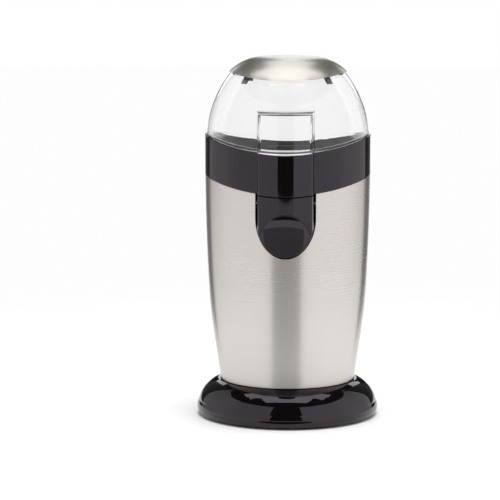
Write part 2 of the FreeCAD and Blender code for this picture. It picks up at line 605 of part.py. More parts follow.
def collar_band():
    ring_body = new_body("collar_ring")
    turn(ring_body, "collar_ring_turn", ring("band_r - band_wall", "band_r", "skirt_z - 5", "band_high_z + 9"))
    nose = nose_prism("collar_nose", "skirt_z - 5", "band_high_z + 9")
    core = rod("collar_core", "band_r - band_wall", "band_high_z", "0", "0", "band_high_z / 2")
    outside = cut("collar_outside", fuse("collar_joined", ring_body, nose), core)
    slab = saddle_slab("collar_slab", "band_low_z", "saddle_drop", "band_high_z", "saddle_drop")
    shaped = common("collar_shaped", outside, slab)
    edge_reach = value("band_r - 1")
    root_x = value("nose_root_half")
    crisp = rounded("collar_crisp", shaped, "edge_round",
                    lambda e: outside_edge(e, edge_reach) or is_nose_root(e, root_x))
    hollow = nose_prism("nose_hollow", "skirt_z - 5", "band_high_z + 9", "nose_wall", False)
    keep = rod("nose_keep", "band_r", "band_high_z", "0", "0", "band_high_z / 2")
    under = saddle_slab("nose_under", "0", "saddle_drop", "band_high_z - nose_wall", "saddle_drop")
    cavity = common("nose_cavity", cut("nose_hollow_front", hollow, keep), under)
    slot = box("tongue_slot", "-tongue_half - slot_gap", "-tongue_far_y - slot_gap", "lock_top_z",
               "tongue_half + slot_gap", "-tongue_near_y + slot_gap", "band_high_z")
    skirt = new_body("collar_skirt")
    turn(skirt, "collar_skirt_turn", [
        ("skirt_r - skirt_wall", "skirt_z"), ("skirt_r", "skirt_z"),
        ("skirt_r", "collar_lip_z + collar_lip"), ("collar_lip_r", "collar_lip_z + collar_lip"),
        ("collar_lip_r", "collar_lip_z"), ("skirt_r - skirt_wall", "collar_lip_z")])
    opening = box("skirt_opening", "-pin_half - 1.5", "-saddle_reach", "skirt_z - 1",
                  "pin_half + 1.5", "0", "band_low_z - saddle_drop + 1.2")
    inside = cut("collar_inside", skirt, opening)
    hollowed = cut("collar_hollowed", crisp, cavity, slot)
    node("collar_band", fuse("collar_band", hollowed, inside))


def outside_edge(edge, reach):
    """True for an edge that runs along the top or bottom of the collar's outer face."""
    box_ = edge.BoundBox
    sloped = edge.Length > 0.5
    far = max((v.X ** 2 + v.Y ** 2) ** 0.5 for v in edge.Vertexes) > reach
    mid = edge.valueAt((edge.FirstParameter + edge.LastParameter) / 2)
    upright = box_.XLength < 0.05 and box_.YLength < 0.05
    return sloped and far and not upright and (mid.x ** 2 + mid.y ** 2) ** 0.5 > reach


def is_nose_root(edge, root_x):
    """True for the upright corner where the nose leaves the collar."""
    return edge.BoundBox.ZLength > 20 and abs(abs(edge.CenterOfMass.x) - root_x) < 0.15


# Button group

def scoop_tool(name, inset):
    """What the finger scoop takes away, with its face moved in by the inset."""
    body = new_body(name)

    def from_axis(word):
        return "scoop_axis_y - %s + (%s)" % (word, inset)

    turn(body, name + "_turn", [
        (from_axis("scoop_start_y"), "scoop_start_z + (%s)" % inset, from_axis("scoop_deep_y"), "scoop_deep_z"),
        (from_axis("scoop_end_y"), "scoop_end_z"), ("0", "scoop_end_z"),
        ("0", "scoop_start_z + (%s)" % inset)])
    bind(body, Placement__Base__y="-scoop_axis_y")
    return body


def power_button(outer_prism):
    top = "band_low_z - seam - button_top_gap + seam"
    under = saddle_slab("button_under_nose", "0", "saddle_drop", top, "saddle_drop")
    column = nose_prism("button_column", "button_low_z - 2", "button_high_z")
    behind = box("button_behind", "-button_half", "-button_back_y", "button_low_z - 2", "button_half",
                 "-nose_back_y + 1", "button_high_z")
    blank = cut("button_blank", common("button_block", column, outer_prism, under), behind)
    scooped = cut("button_scooped", blank, scoop_tool("scoop", "0"))
    soft = rounded("button_soft", scooped, "scoop_round", is_scoop_edge)
    front = rounded("button_front", soft, "rim_round", is_paddle_rim)
    inner = common("button_inner", nose_prism("button_inner_column", "button_low_z - 2", "button_high_z",
                                              "button_wall", False),
                   paddle_prism("button_inner_outline", "button_wall"),
                   saddle_slab("button_inner_top", "0", "saddle_drop", top + " - button_wall",
                               "saddle_drop"))
    inner_cut = cut("button_inner_cut", inner, scoop_tool("scoop_inner", "button_wall"))
    ears = rod("button_ears", "ear_r", "2 * button_half - 2 * fit_gap", "-button_half + fit_gap", "-pin_y",
               "pin_z", ALONG_X)
    arms = box("button_ear_arms", "-button_half + fit_gap", "-button_back_y - 0.5", "pin_z - ear_r / 2",
               "button_half - fit_gap", "-pin_y", "pin_z + ear_r / 2")
    ear_space = box("ear_space", "-(button_half - button_wall)", "-nose_y", "pin_z - 2 * ear_r",
                    "button_half - button_wall", "-nose_back_y", "pin_z + 2 * ear_r")
    stem = rod("button_stem", "stem_r", "scoop_deep_y - stem_y - button_wall / 2", "0",
               "-scoop_deep_y + button_wall / 2", "stem_z", ALONG_Y)
    hollow = cut("button_hollow", front, inner_cut)
    pin_hole = rod("button_pin_hole", "pin_r + pin_clearance", "4 * button_half", "-2 * button_half",
                   "-pin_y", "pin_z", ALONG_X)
    ear_pair = cut("button_ear_pair", fuse("button_ears_with_arms", ears, arms), ear_space)
    whole = fuse("button_whole", hollow, ear_pair, stem)
    node("power_button", cut("power_button", whole, pin_hole))


def is_scoop_edge(edge):
    """True for the edge where the finger scoop meets the front of the column."""
    box_ = edge.BoundBox
    return box_.XLength > 6 and box_.ZMax < 122 and box_.ZMin > 99 and box_.YMax < -47


def is_paddle_rim(edge):
    """True for the edges along the outline of the button, away from its back."""
    points = [edge.valueAt(edge.FirstParameter + (edge.LastParameter - edge.FirstParameter) * step)
              for step in (0, 0.5, 1)]
    tall = value("button_bow_z - button_low_z")
    on_outline = all(abs((p.x / value("button_half")) ** 2 + ((p.z - value("button_bow_z")) / tall) ** 2 - 1)
                     < 0.01 for p in points)
    return on_outline and edge.Length > 0.5 and edge.BoundBox.YMin < -value("button_back_y") - 0.5


def button_bezel(hole):
    """The black frame behind the sleeve that lines the opening and carries the pin."""
    solid = new_body("bezel_solid")
    turn(solid, "bezel_turn", [("0", "shell_waist_z")] + [
        ("shell_waist_r - shell_wall - fit_gap", "shell_waist_z", "shell_chest_r - shell_wall - fit_gap",
         "shell_chest_z"),
        ("shell_top_r - shell_wall - fit_gap", "shell_top_z"), ("0", "shell_top_z")])
    outline = paddle_prism("bezel_outline", "-button_gap - bezel_wall")
    back = box("bezel_back", "-2 * button_half", "-bezel_back_y", "shell_waist_z", "2 * button_half",
               "saddle_reach", "shell_top_z")
    top = saddle_slab("bezel_under_collar", "0", "saddle_drop", "band_low_z - seam", "saddle_drop")
    frame = cut("bezel_frame", common("bezel_block", solid, outline, top), hole, back)
    ears = rod("bezel_ears", "ear_r", "2 * pin_half", "-pin_half", "-pin_y", "pin_z", ALONG_X)
    space = box("bezel_ear_space", "-(button_half + button_gap / 2)", "-nose_y", "pin_z - 2 * ear_r",
                "button_half + button_gap / 2", "0", "pin_z + 2 * ear_r")
    ear_pair = common("bezel_ear_pair", cut("bezel_ears_split", ears, space), solid)
    bore = rod("bezel_pin_bore", "pin_r", "4 * pin_half", "-2 * pin_half", "-pin_y", "pin_z", ALONG_X)
    node("button_bezel", cut("button_bezel", fuse("bezel_whole", frame, ear_pair), bore))


def button_pins():
    """A stub pin in each ear of the frame, carrying the button."""
    stubs = [rod("button_pin_" + word, "pin_r", "pin_half - pin_inner", start, "-pin_y", "pin_z", ALONG_X)
             for word, start in (("right", "pin_inner"), ("left", "-pin_half"))]
    pair = doc.addObject("Part::Compound", "button_pins")
    pair.Links = stubs
    node("button_pins", pair)


def button_spring():
    coil = rod("spring_coil", "spring_r", "spring_length", "-spring_x", "-pin_y", "pin_z", ALONG_X)
    bore = rod("spring_bore", "spring_in_r", "2 * spring_length", "-spring_x - 1", "-pin_y", "pin_z", ALONG_X)
    leg = rod("spring_leg", "spring_wire_r", "spring_leg", "-spring_x + 1", "-pin_y - spring_leg",
              "pin_z - (spring_r + spring_in_r) / 2", ALONG_Y)
    tube = cut("spring_tube", coil, bore)
    node("button_spring", fuse("button_spring", tube, cut("spring_leg_end", leg, bore)))


# Lid

def lid_dome():
    above = saddle_slab("dome_above", "band_high_z + lid_gap", "saddle_drop", "2 * cap_rim_z", "saddle_drop")
    stepped = cap_form("dome_step", "cap_wall + cap_gap", "skirt_z")
    whole = cut("dome_whole", flank_form("dome_flank", "0", "skirt_z"), cap_zone("dome_above_rim", "cap_gap"))
    column = nose_prism("column_prism", "skirt_z", "column_top_z")
    top = common("dome_top", stepped, flank_form("dome_top_flank", "0", "skirt_z"))
    outside = common("dome_outside", fuse("dome_solid", whole, top, column), above)
    soft = rounded("dome_soft", outside, "nose_round / 2", is_column_rim)
    lip_zone = saddle_slab("lip_zone", "band_high_z + lid_gap", "saddle_drop",
                           "band_high_z + lid_gap + lip_height", "saddle_drop")
    lip_ring = new_body("lip_ring")
    turn(lip_ring, "lip_ring_turn", ring("dome_r - dome_wall", "dome_r + lip_proud", "skirt_z", "cap_rim_z"))
    lip = common("dome_lip", lip_ring, lip_zone)
    inset = "dome_wall + cap_gap"
    cavity = common("dome_cavity", flank_form("cavity_flank", inset, "skirt_z - 1"),
                    cap_form("cavity_cap", "cap_wall + cap_gap + dome_wall", "skirt_z - 1"))
    room = common("column_room", nose_prism("column_hollow", "skirt_z", "column_top_z - column_wall",
                                            "column_wall", False),
                  saddle_slab("column_above_floor", "band_high_z + lid_gap + column_floor", "saddle_drop",
                              "2 * cap_rim_z", "saddle_drop"))
    shell = cut("dome_hollow", fuse("dome_with_lip", soft, lip), cavity, room)
    spigot_body = new_body("spigot_ring")
    turn(spigot_body, "spigot_turn", ring("spigot_r - spigot_wall", "spigot_r", "spigot_z", "cap_rim_z"))
    spigot = common("dome_spigot", spigot_body,
                    saddle_slab("spigot_zone", "0", "saddle_drop",
                                "band_high_z + lid_gap + spigot_up", "saddle_drop"))
    tongue = box("lid_tongue", "-tongue_half", "-tongue_far_y", "tongue_z", "tongue_half", "-tongue_near_y",
                 "band_high_z + lid_gap - saddle_drop + column_floor")
    node("lid_dome", fuse("lid_dome", shell, spigot, tongue))


def is_column_rim(edge):
    """True for the edges round the top of the clear column, away from the dome."""
    box_ = edge.BoundBox
    return abs(box_.ZMax - value("column_top_z")) < 0.01 and box_.ZLength < 0.01 and edge.CenterOfMass.y < -48


def lid_cap():
    inner = cap_form("cap_inner", "cap_wall", "skirt_z - 1")
    skin = cut("cap_skin", cap_form("cap_outer", "0", "skirt_z"), inner)
    node("lid_cap", common("lid_cap", skin, cap_zone("cap_above", "0")))


def cap_retainer():
    """A dark ring under the clear top: a thin line below the cap's rim and four tabs."""
    inset = "dome_wall + cap_gap + fit_gap"
    outer = common("retainer_outer", flank_form("retainer_outer_flank", inset, "skirt_z"),
                   cap_form("retainer_outer_cap", "cap_wall + " + inset, "skirt_z"))
    inner = common("retainer_inner",
                   flank_form("retainer_inner_flank", inset + " + retainer_wall", "skirt_z - 1"),
                   cap_form("retainer_inner_cap", "cap_wall + retainer_wall + " + inset, "skirt_z - 1"))
    skin = cut("retainer_skin", outer, inner)
    line = saddle_slab("retainer_line", "retainer_line_z + retainer_drop", "retainer_drop",
                       "retainer_line_z + retainer_drop + retainer_line", "retainer_drop")
    tab_body = new_body("retainer_tabs")
    tab = pad(tab_body, "retainer_tab", [[
        ("retainer_ring_r", "-retainer_half"), ("dome_r", "-retainer_half"), ("dome_r", "retainer_half"),
        ("retainer_ring_r", "retainer_half")]], "retainer_z", "retainer_top_z")
    around(tab_body, "retainer_tab_ring", [tab], "4")
    tab_body.Placement = FreeCAD.Placement(Vector(), FreeCAD.Rotation(Vector(0, 0, 1), 45))
    node("cap_retainer", common("cap_retainer", skin, fuse("retainer_zone", line, tab_body)))


# Bowl and carrier

def grinding_bowl():
    body = new_body("grinding_bowl")
    inner_floor = "bowl_z + bowl_wall"
    quarter = "(1 - sqrt(0.5))"
    outer_r, outer_corner = "bowl_r + bowl_wall", "(bowl_corner + bowl_wall)"
    turn(body, "bowl_turn", [
        ("bowl_hole_r", "bowl_z"),
        ("%s - %s" % (outer_r, outer_corner), "bowl_z",
         "%s - %s * %s" % (outer_r, outer_corner, quarter), "bowl_z + %s * %s" % (outer_corner, quarter)),
        (outer_r, "bowl_z + " + outer_corner),
        (outer_r, "bowl_top_z - bowl_wall"),
        ("bowl_flange_r", "bowl_top_z - bowl_wall"),
        ("bowl_flange_r", "bowl_top_z"),
        ("bowl_r", "bowl_top_z"),
        ("bowl_r", inner_floor + " + bowl_corner",
         "bowl_r - bowl_corner * " + quarter, "%s + bowl_corner * %s" % (inner_floor, quarter)),
        ("bowl_r - bowl_corner", inner_floor),
        ("bowl_hole_r", inner_floor)])
    node("grinding_bowl", body)


def bowl_gasket():
    body = new_body("bowl_gasket")
    high = "bowl_top_z - bowl_wall"
    turn(body, "gasket_turn", ring("gasket_r", "bowl_flange_r", high + " - gasket_wall", high))
    node("bowl_gasket", body)


def bowl_carrier():
    body = new_body("bowl_carrier")
    flange_top = "bowl_top_z - bowl_wall - gasket_wall"
    inner = "carrier_r - carrier_wall"
    turn(body, "carrier_turn", [
        ("carrier_hole_r", "carrier_z"), ("carrier_r", "carrier_z"),
        ("carrier_r", flange_top + " - carrier_flange"), ("carrier_flange_r", flange_top + " - carrier_flange"),
        ("carrier_flange_r", flange_top), (inner, flange_top),
        (inner, "carrier_z + carrier_floor"), ("carrier_hole_r", "carrier_z + carrier_floor")])
    pad(body, "carrier_bosses", bolt_circles("carrier_boss_r"), "carrier_z", "carrier_boss_top_z")
    pocket(body, "carrier_bolt_holes", bolt_circles("bolt_r"), "carrier_z", "bolt_end_z")
    node("bowl_carrier", body)


def bolt_circles(radius):
    """Four circles, one on each motor bolt."""
    return [("circle", sx + "bolt_x", sy + "bolt_y", radius) for sx in ("", "-") for sy in ("", "-")]


def inner_housing():
    body = new_body("inner_housing")
    plug_in = "housing_plug_r - housing_plug_wall"
    bore = "housing_r - housing_wall"
    turn(body, "housing_turn", [
        (plug_in, "housing_plug_z"), ("housing_plug_r", "housing_plug_z"), ("housing_plug_r", "neck_top_z"),
        ("housing_r", "neck_top_z"), ("housing_r", "carrier_z"), (bore, "carrier_z"),
        (bore, "ledge_z + ledge"), ("ledge_r", "ledge_z + ledge"), ("ledge_r", "ledge_z"),
        (bore, "ledge_z"), (bore, "housing_step_z"), (plug_in, "housing_step_z")])
    pocket(body, "housing_window", [rectangle("-window_half", "window_z", "window_half", "carrier_z + 1")],
           "nose_back_y / 2", "saddle_reach", "XZ_Plane")
    node("inner_housing", body)


# Motor

def drive_shaft():
    body = new_body("drive_shaft")
    turn(body, "shaft_turn", [
        ("0", "shaft_low_z"), ("shaft_r", "shaft_low_z"), ("shaft_r", "spindle_z"),
        ("spindle_r", "spindle_z"), ("spindle_r", "spindle_top_z"), ("0", "spindle_top_z")])
    node("drive_shaft", body)


def bearings():
    for label, outer, low, high in (("lower_bearing", "sleeve_r", "sleeve_low_z", "sleeve_top_z"),
                                    ("upper_bearing", "race_r", "race_z", "race_top_z")):
        body = new_body(label)
        turn(body, label + "_turn", ring("shaft_r + pin_clearance", outer, low, high))
        node(label, body)


def motor_brackets():
    plate = "ledge_z + ledge"
    lower = new_body("lower_motor_bracket")
    turn(lower, "lower_bracket_turn", [
        ("sleeve_r", "hub_low_z"), ("hub_r", "hub_low_z"), ("hub_r", plate), ("bracket_r", plate),
        ("bracket_r", plate + " + bracket"), ("hub_r", plate + " + bracket"), ("hub_r", "hub_top_z"),
        ("sleeve_r", "hub_top_z")])
    pad(lower, "lower_legs", bolt_circles("leg_r"), plate, "stack_z")
    pocket(lower, "lower_bolt_holes", bolt_circles("bolt_r"), plate, "stack_z")
    pocket(lower, "lead_holes", [("circle", s + "lead_x", "lead_y", "lead_hole_r") for s in ("", "-")],
           plate, plate + " + bracket")
    node("lower_motor_bracket", lower)
    upper = new_body("upper_motor_bracket")
    high = "upper_bracket_z + bracket"
    turn(upper, "upper_bracket_turn", [
        ("race_r", "upper_hub_z"), ("upper_hub_r", "upper_hub_z"), ("upper_hub_r", "upper_bracket_z"),
        ("upper_bracket_r", "upper_bracket_z"), ("upper_bracket_r", high), ("upper_hub_r", high),
        ("upper_hub_r", "upper_hub_top_z"), ("race_r", "upper_hub_top_z")])
    pad(upper, "upper_legs", bolt_circles("leg_r"), "stack_top_z", high)
    pocket(upper, "upper_bolt_holes", bolt_circles("bolt_r"), "stack_top_z", high)
    node("upper_motor_bracket", upper)


def motor_screws():
    body = new_body("motor_screws")
    seat = "ledge_z + ledge"
    pad(body, "bolt_shanks", bolt_circles("bolt_r"), seat, "bolt_end_z")
    pad(body, "bolt_heads", bolt_circles("bolt_head_r"), seat + " - bolt_head", seat)
    node("motor_screws", body)


def motor_mounts():
    body = new_body("motor_mounts")
    low = "upper_bracket_z + bracket"
    pad(body, "mount_sleeves", bolt_circles("carrier_boss_r"), low, "carrier_z")
    pocket(body, "mount_bores", bolt_circles("bolt_r"), low, "carrier_z")
    node("motor_mounts", body)


def stator_core():
    block = box("stack_block", "-stack_half_x", "-stack_half_y", "stack_z", "stack_half_x", "stack_half_y",
                "stack_top_z")
    round_off = rod("stack_round", "stack_r", "stack_top_z - stack_z", "0", "0", "stack_z")
    body = new_body("stack_holes")
    pad(body, "stack_bore", [("circle", "0", "0", "stack_bore_r")], "stack_z - 1", "stack_top_z + 1")
    pad(body, "stack_slots", [sector("stack_bore_r - 1", "slot_r", start, start + 76)
                              for start in (-38, 142)], "stack_z - 1", "stack_top_z + 1")
    pad(body, "stack_bolt_holes", bolt_circles("bolt_r"), "stack_z - 1", "stack_top_z + 1")
    node("stator_core", cut("stator_core", common("stack_blank", block, round_off), body))


def sector(inner, outer, start, end):
    """Part of a flat ring between two angles in degrees."""
    middle = (start + end) / 2

    def at(radius, angle):
        return "(%s) * cos(%g)" % (radius, angle), "(%s) * sin(%g)" % (radius, angle)

    return [at(inner, end) + at(inner, middle), at(inner, start),
            at(outer, start) + at(outer, middle), at(outer, end)]


def field_coils():
    body = new_body("field_coils")
    legs = [sector("coil_in_r", "coil_out_r", start, start + 28) for start in (6, 146, 186, 326)]
    turns = [sector("coil_in_r", "coil_out_r", start, start + 168) for start in (6, 186)]
    low, high = "stack_z - coil_clear", "stack_top_z + coil_clear"
    pad(body, "coil_legs", legs, low, high)
    pad(body, "coil_upper_turns", turns, high, high + " + coil_rise")
    pad(body, "coil_lower_turns", turns, low + " - coil_rise", low)
    node("field_coils", body)


def armature():
    core = new_body("armature_core")
    turn(core, "armature_turn", ring("shaft_r", "armature_r", "stack_z", "stack_top_z"))
    slot = pocket(core, "armature_slot", [rectangle("armature_r - 4", "-0.7", "armature_r + 1", "0.7")],
                  "stack_z - 1", "stack_top_z + 1")
    around(core, "armature_slots", [slot], "12")
    node("armature_core", core)
    winding = new_body("armature_windings")
    for word, low, high in (("upper", "stack_top_z", "stack_top_z + winding_rise"),
                            ("lower", "stack_z - winding_rise", "stack_z")):
        turn(winding, word + "_winding", ring("winding_in_r", "winding_r", low, high))
    node("armature_windings", winding)
    commutator = new_body("commutator")
    turn(commutator, "commutator_turn", ring("shaft_r", "commutator_r", "commutator_z", "commutator_top_z"))
    node("commutator", commutator)


def cooling_fan():
    body = new_body("cooling_fan")
    turn(body, "fan_turn", [
        ("shaft_r", "fan_z"), ("fan_r", "fan_z"), ("fan_r", "fan_z + fan_disc"),
        ("fan_hub_r", "fan_z + fan_disc"), ("fan_hub_r", "fan_top_z"), ("shaft_r", "fan_top_z")])
    blade = pad(body, "fan_vane", [rectangle("fan_hub_r - 1", "-fan_blade / 2", "fan_r - 0.5",
                                             "fan_blade / 2")], "fan_z", "fan_top_z")
    around(body, "fan_vanes", [blade], "fan_count")
    node("cooling_fan", body)


def brush_gear():
    floor = "ledge_z + ledge + bracket"
    holders, brushes, springs = [], [], []
    for word, sign in (("right", 1), ("left", -1)):
        def span(name, x0, x1, half, z0, z1):
            ends = (x0, x1) if sign > 0 else ("-(%s)" % x1, "-(%s)" % x0)
            return box(name, ends[0], "-(%s)" % half, z0, ends[1], half, z1)

        low, high = "brush_z - brush_half", "brush_z + brush_half"
        block = span("holder_" + word, "holder_x", "holder_end_x", "holder_half", floor, "holder_top_z")
        channel = span("channel_" + word, "holder_x - 1", "holder_end_x - holder_wall",
                       "brush_half + fit_gap", low + " - fit_gap", high + " + fit_gap")
        holders.append(cut("brush_holder_" + word, block, channel))
        brushes.append(span("brush_" + word, "commutator_r + brush_gap", "brush_end_x", "brush_half", low, high))
        start = "brush_end_x" if sign > 0 else "-(holder_end_x - holder_wall)"
        length = "holder_end_x - holder_wall - brush_end_x"
        outer = rod("brush_spring_outer_" + word, "brush_half - 0.4", length, start, "0", "brush_z", ALONG_X)
        inner = rod("brush_spring_inner_" + word, "brush_half - 1", length, start, "0", "brush_z", ALONG_X)
        springs.append(cut("brush_spring_" + word, outer, inner))
    for label, group in (("brush_holders", holders), ("carbon_brushes", brushes), ("brush_springs", springs)):
        joined = doc.addObject("Part::Compound", label)
        joined.Links = group
        node(label, joined)


def electrics():
    floor = "ledge_z + ledge + bracket"
    node("suppression_capacitor", box("suppression_capacitor", "-capacitor_half", "capacitor_y", floor,
                                      "capacitor_half", "capacitor_y + capacitor_depth", "capacitor_top_z"))
    node("thermal_cutout", rod("thermal_cutout", "cutout_r", "cutout_top_z - (%s)" % floor, "0", "-cutout_y",
                               floor))
    node("terminal_block", box("terminal_block", "-capacitor_half", "terminal_y", floor, "capacitor_half",
                               "terminal_y + terminal_depth", "terminal_top_z"))
    leads = []
    for side in (1, -1):
        x, y, bend = side * value("lead_x"), value("lead_y"), value("lead_bend")
        start_y, low, high = value("lead_start_y"), value("inlet_z"), value(floor)
        corner = bend * (1 - 0.5 ** 0.5)
        path = Part.Wire([
            Part.LineSegment(Vector(x, start_y, low), Vector(x, y + bend, low)).toShape(),
            Part.Arc(Vector(x, y + bend, low), Vector(x, y + corner, low + corner),
                     Vector(x, y, low + bend)).toShape(),
            Part.LineSegment(Vector(x, y, low + bend), Vector(x, y, high)).toShape()])
        section = Part.Wire([Part.makeCircle(value("lead_r"), Vector(x, start_y, low), Vector(0, -1, 0))])
        leads.append(path.makePipeShell([section], True, False))
    wires = doc.addObject("Part::Feature", "lead_wires")
    wires.Shape = Part.makeCompound(leads)
    wires.Placement = FreeCAD.Placement()
    node("lead_wires", wires)


# Blade

def shaft_seal():
    body = new_body("shaft_seal")
    turn(body, "seal_turn", [
        ("shaft_r + seal_gap", "seal_z"), ("bowl_hole_r + 1.6", "seal_z"), ("bowl_hole_r + 1.6", "bowl_z"),
        ("bowl_hole_r", "bowl_z"), ("bowl_hole_r", "seal_top_z - 1"), ("shaft_r + seal_gap", "seal_top_z")])
    node("shaft_seal", body)


def grinding_blade():
    spacer = new_body("blade_spacer")
    turn(spacer, "spacer_turn", ring("spindle_r", "spacer_r", "spacer_z", "blade_z"))
    node("blade_spacer", spacer)
    plan = new_body("blade_plan")
    pad(plan, "blade_plan_pad", [[
        ("-blade_flat", "-blade_half"), ("0", "-blade_half"), ("blade_flat", "-blade_half"),
        ("blade_reach", "-blade_tip_half", "blade_reach + 1.2", "0"), ("blade_reach", "blade_tip_half"),
        ("blade_flat", "blade_half"), ("-blade_flat", "blade_half"),
        ("-blade_reach", "blade_tip_half", "-blade_reach - 1.2", "0"), ("-blade_reach", "-blade_tip_half")]],
        "blade_z - 2", "blade_z + 4 * blade_rise")
    side = new_body("blade_side")
    top, tip = "blade_z + blade_wall", "blade_reach + 3"
    rise = "blade_rise * (blade_reach + 3 - blade_flat) / (blade_reach - blade_flat)"
    profile = new_sketch(side, "blade_side_outline", "XZ_Plane", [[
        ("-(%s)" % tip, "blade_z + " + rise), ("-blade_flat", "blade_z"), ("blade_flat", "blade_z"),
        (tip, "blade_z + " + rise), (tip, top + " + " + rise), ("blade_flat", top), ("-blade_flat", top),
        ("-(%s)" % tip, top + " + " + rise)]])
    feature = side.newObject("PartDesign::Pad", "blade_side_pad")
    feature.Profile = profile
    feature.SideType = "Symmetric"
    bind(feature, Length="4 * blade_half")
    hole = rod("blade_hole", "spindle_r", "blade_z", "0", "0", "blade_z / 2")
    node("grinding_blade", cut("grinding_blade", common("blade_blank", plan, side), hole))


def blade_nut():
    base = "blade_z + blade_wall"
    hexagon = doc.addObject("Part::Prism", "nut_hexagon")
    hexagon.Polygon = 6
    bind(hexagon, Circumradius="nut_r", Height="nut_height", Placement__Base__z=base)
    dome = doc.addObject("Part::Sphere", "nut_dome")
    bind(dome, Radius="nut_dome_r", Placement__Base__z=base + " + nut_height")
    hole = rod("nut_hole", "spindle_r", "spindle_top_z - (%s) + fit_gap" % base, "0", "0", base)
    above = box("nut_above", "-nut_r", "-nut_r", base, "nut_r", "nut_r", base + " + 3 * nut_height")
    node("blade_nut", cut("blade_nut", fuse("nut_solid", hexagon, common("nut_cap", dome, above)), hole))


# Switch and interlock

def microswitch():
    block = box("switch_block", "-switch_half", "-switch_front_y", "switch_z", "switch_half",
                "-switch_back_y", "switch_top_z")
    bore = rod("switch_bore", "plunger_bore_r", "switch_front_y - plunger_bore_y + 1", "0",
               "-switch_front_y - 1", "stem_z", ALONG_Y)
    holes = [rod("switch_hole_" + word, "switch_screw_r", "switch_front_y", sign + "switch_screw_x",
                 "-switch_front_y - 1", "switch_screw_z", ALONG_Y) for word, sign in (("right", ""), ("left", "-"))]
    node("microswitch", cut("microswitch", block, bore, *holes))
    node("switch_plunger", rod("switch_plunger", "plunger_r", "plunger_tip_y - plunger_end_y", "0",
                               "-plunger_tip_y", "stem_z", ALONG_Y))


def switch_fixing():
    back = "-switch_back_y"
    plate = box("switch_bracket_plate", "-switch_half", back, "switch_z", "switch_half",
                back + " + switch_bracket", "carrier_z")
    tab = box("switch_bracket_tab", "-switch_half", back, "carrier_z - switch_bracket", "switch_half",
              "-switch_bracket_y", "carrier_z")
    joined = fuse("switch_bracket_solid", plate, tab)
    screws, holes = [], []
    for word, sign in (("right", ""), ("left", "-")):
        x = sign + "switch_screw_x"
        tip = back + " + switch_bracket"
        shank = rod("switch_shank_" + word, "switch_screw_r", "switch_front_y - switch_back_y + switch_bracket",
                    x, "-switch_front_y", "switch_screw_z", ALONG_Y)
        head = rod("switch_head_" + word, "switch_screw_head_r", "switch_screw_head", x,
                   "-switch_front_y - switch_screw_head", "switch_screw_z", ALONG_Y)
        screws.append(fuse("switch_screw_" + word, shank, head))
        holes.append(rod("bracket_hole_" + word, "switch_screw_r", "4 * switch_bracket", x, back + " - 1",
                         "switch_screw_z", ALONG_Y))
    node("switch_bracket", cut("switch_bracket", joined, *holes))
    pair = doc.addObject("Part::Compound", "switch_screws")
    pair.Links = screws
    node("switch_screws", pair)


def interlock():
    node("interlock_plunger", box("interlock_plunger", "-lock_half_x", "-lock_y - lock_half_y", "lock_z",
                                  "lock_half_x", "-lock_y + lock_half_y", "lock_top_z"))
    shelf_top = "lock_shelf_z + lock_shelf"
    outer = rod("lock_spring_outer", "lock_spring_r", "lock_z - (%s)" % shelf_top, "0", "-lock_y", shelf_top)
    inner = rod("lock_spring_inner", "lock_spring_in_r", "lock_z - (%s)" % shelf_top, "0", "-lock_y", shelf_top)
    node("interlock_spring", cut("interlock_spring", outer, inner))
    blank = nose_prism("shelf_blank", "lock_shelf_z", shelf_top, "nose_wall + fit_gap", False)
    behind = rod("shelf_behind", "band_r + fit_gap", "band_high_z", "0", "0", "band_high_z / 2")
    node("interlock_shelf", cut("interlock_shelf", blank, behind))


def build():
    base_foot()
    base_plate()
    rubber_feet()
    base_screws()
    cord_gland()
    cord_clamp()
    clamp_screws()
    hole = paddle_prism("paddle_hole", "-button_gap")
    outer_shell(hole)
    collar_band()
    power_button(paddle_prism("paddle_outline", "0"))
    button_bezel(hole)
    button_pins()
    button_spring()
    lid_dome()
    lid_cap()
    cap_retainer()
    grinding_bowl()
    bowl_gasket()
    bowl_carrier()
    inner_housing()
    drive_shaft()
    bearings()
    motor_brackets()
    motor_screws()
    motor_mounts()
    stator_core()
    field_coils()
    armature()
    cooling_fan()
    brush_gear()
    electrics()
    shaft_seal()
    grinding_blade()
    blade_nut()
    microswitch()
    switch_fixing()
    interlock()


def check():
    """Stop if any object failed or any sub-part is empty or broken."""
    doc.recompute()
    for thing in doc.Objects:
        if "Invalid" in thing.State or "Error" in thing.State:
            raise ValueError("%s failed: %s" % (thing.Name, thing.State))
    for source in nodes:
        if source.Shape.isNull() or not source.Shape.isValid() or not source.Shape.Solids:
            raise ValueError(source.Label + " has no valid solid")


def export():
    os.makedirs(PARTS_FOLDER, exist_ok=True)
    for source in nodes:
        source.Shape.exportStep(os.path.join(PARTS_FOLDER, source.Label + ".step"))
        print("%-24s %2d solids %9.1f mm3" % (source.Label, len(source.Shape.Solids), source.Shape.Volume))


build()
check()
export()
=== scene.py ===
"""Looks of an electric grinder with a clear domed lid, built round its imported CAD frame."""

import math

import bmesh
import bpy
from bpy.props import FloatProperty, FloatVectorProperty, PointerProperty
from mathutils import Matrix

bl_info = {
    "name": "Domed grinder",
    "version": (1, 0, 0),
    "blender": (4, 5, 0),
    "location": "3D View > Sidebar > Grinder",
    "description": "Finishes, stage, light and camera of a small electric grinder",
    "category": "Object",
}


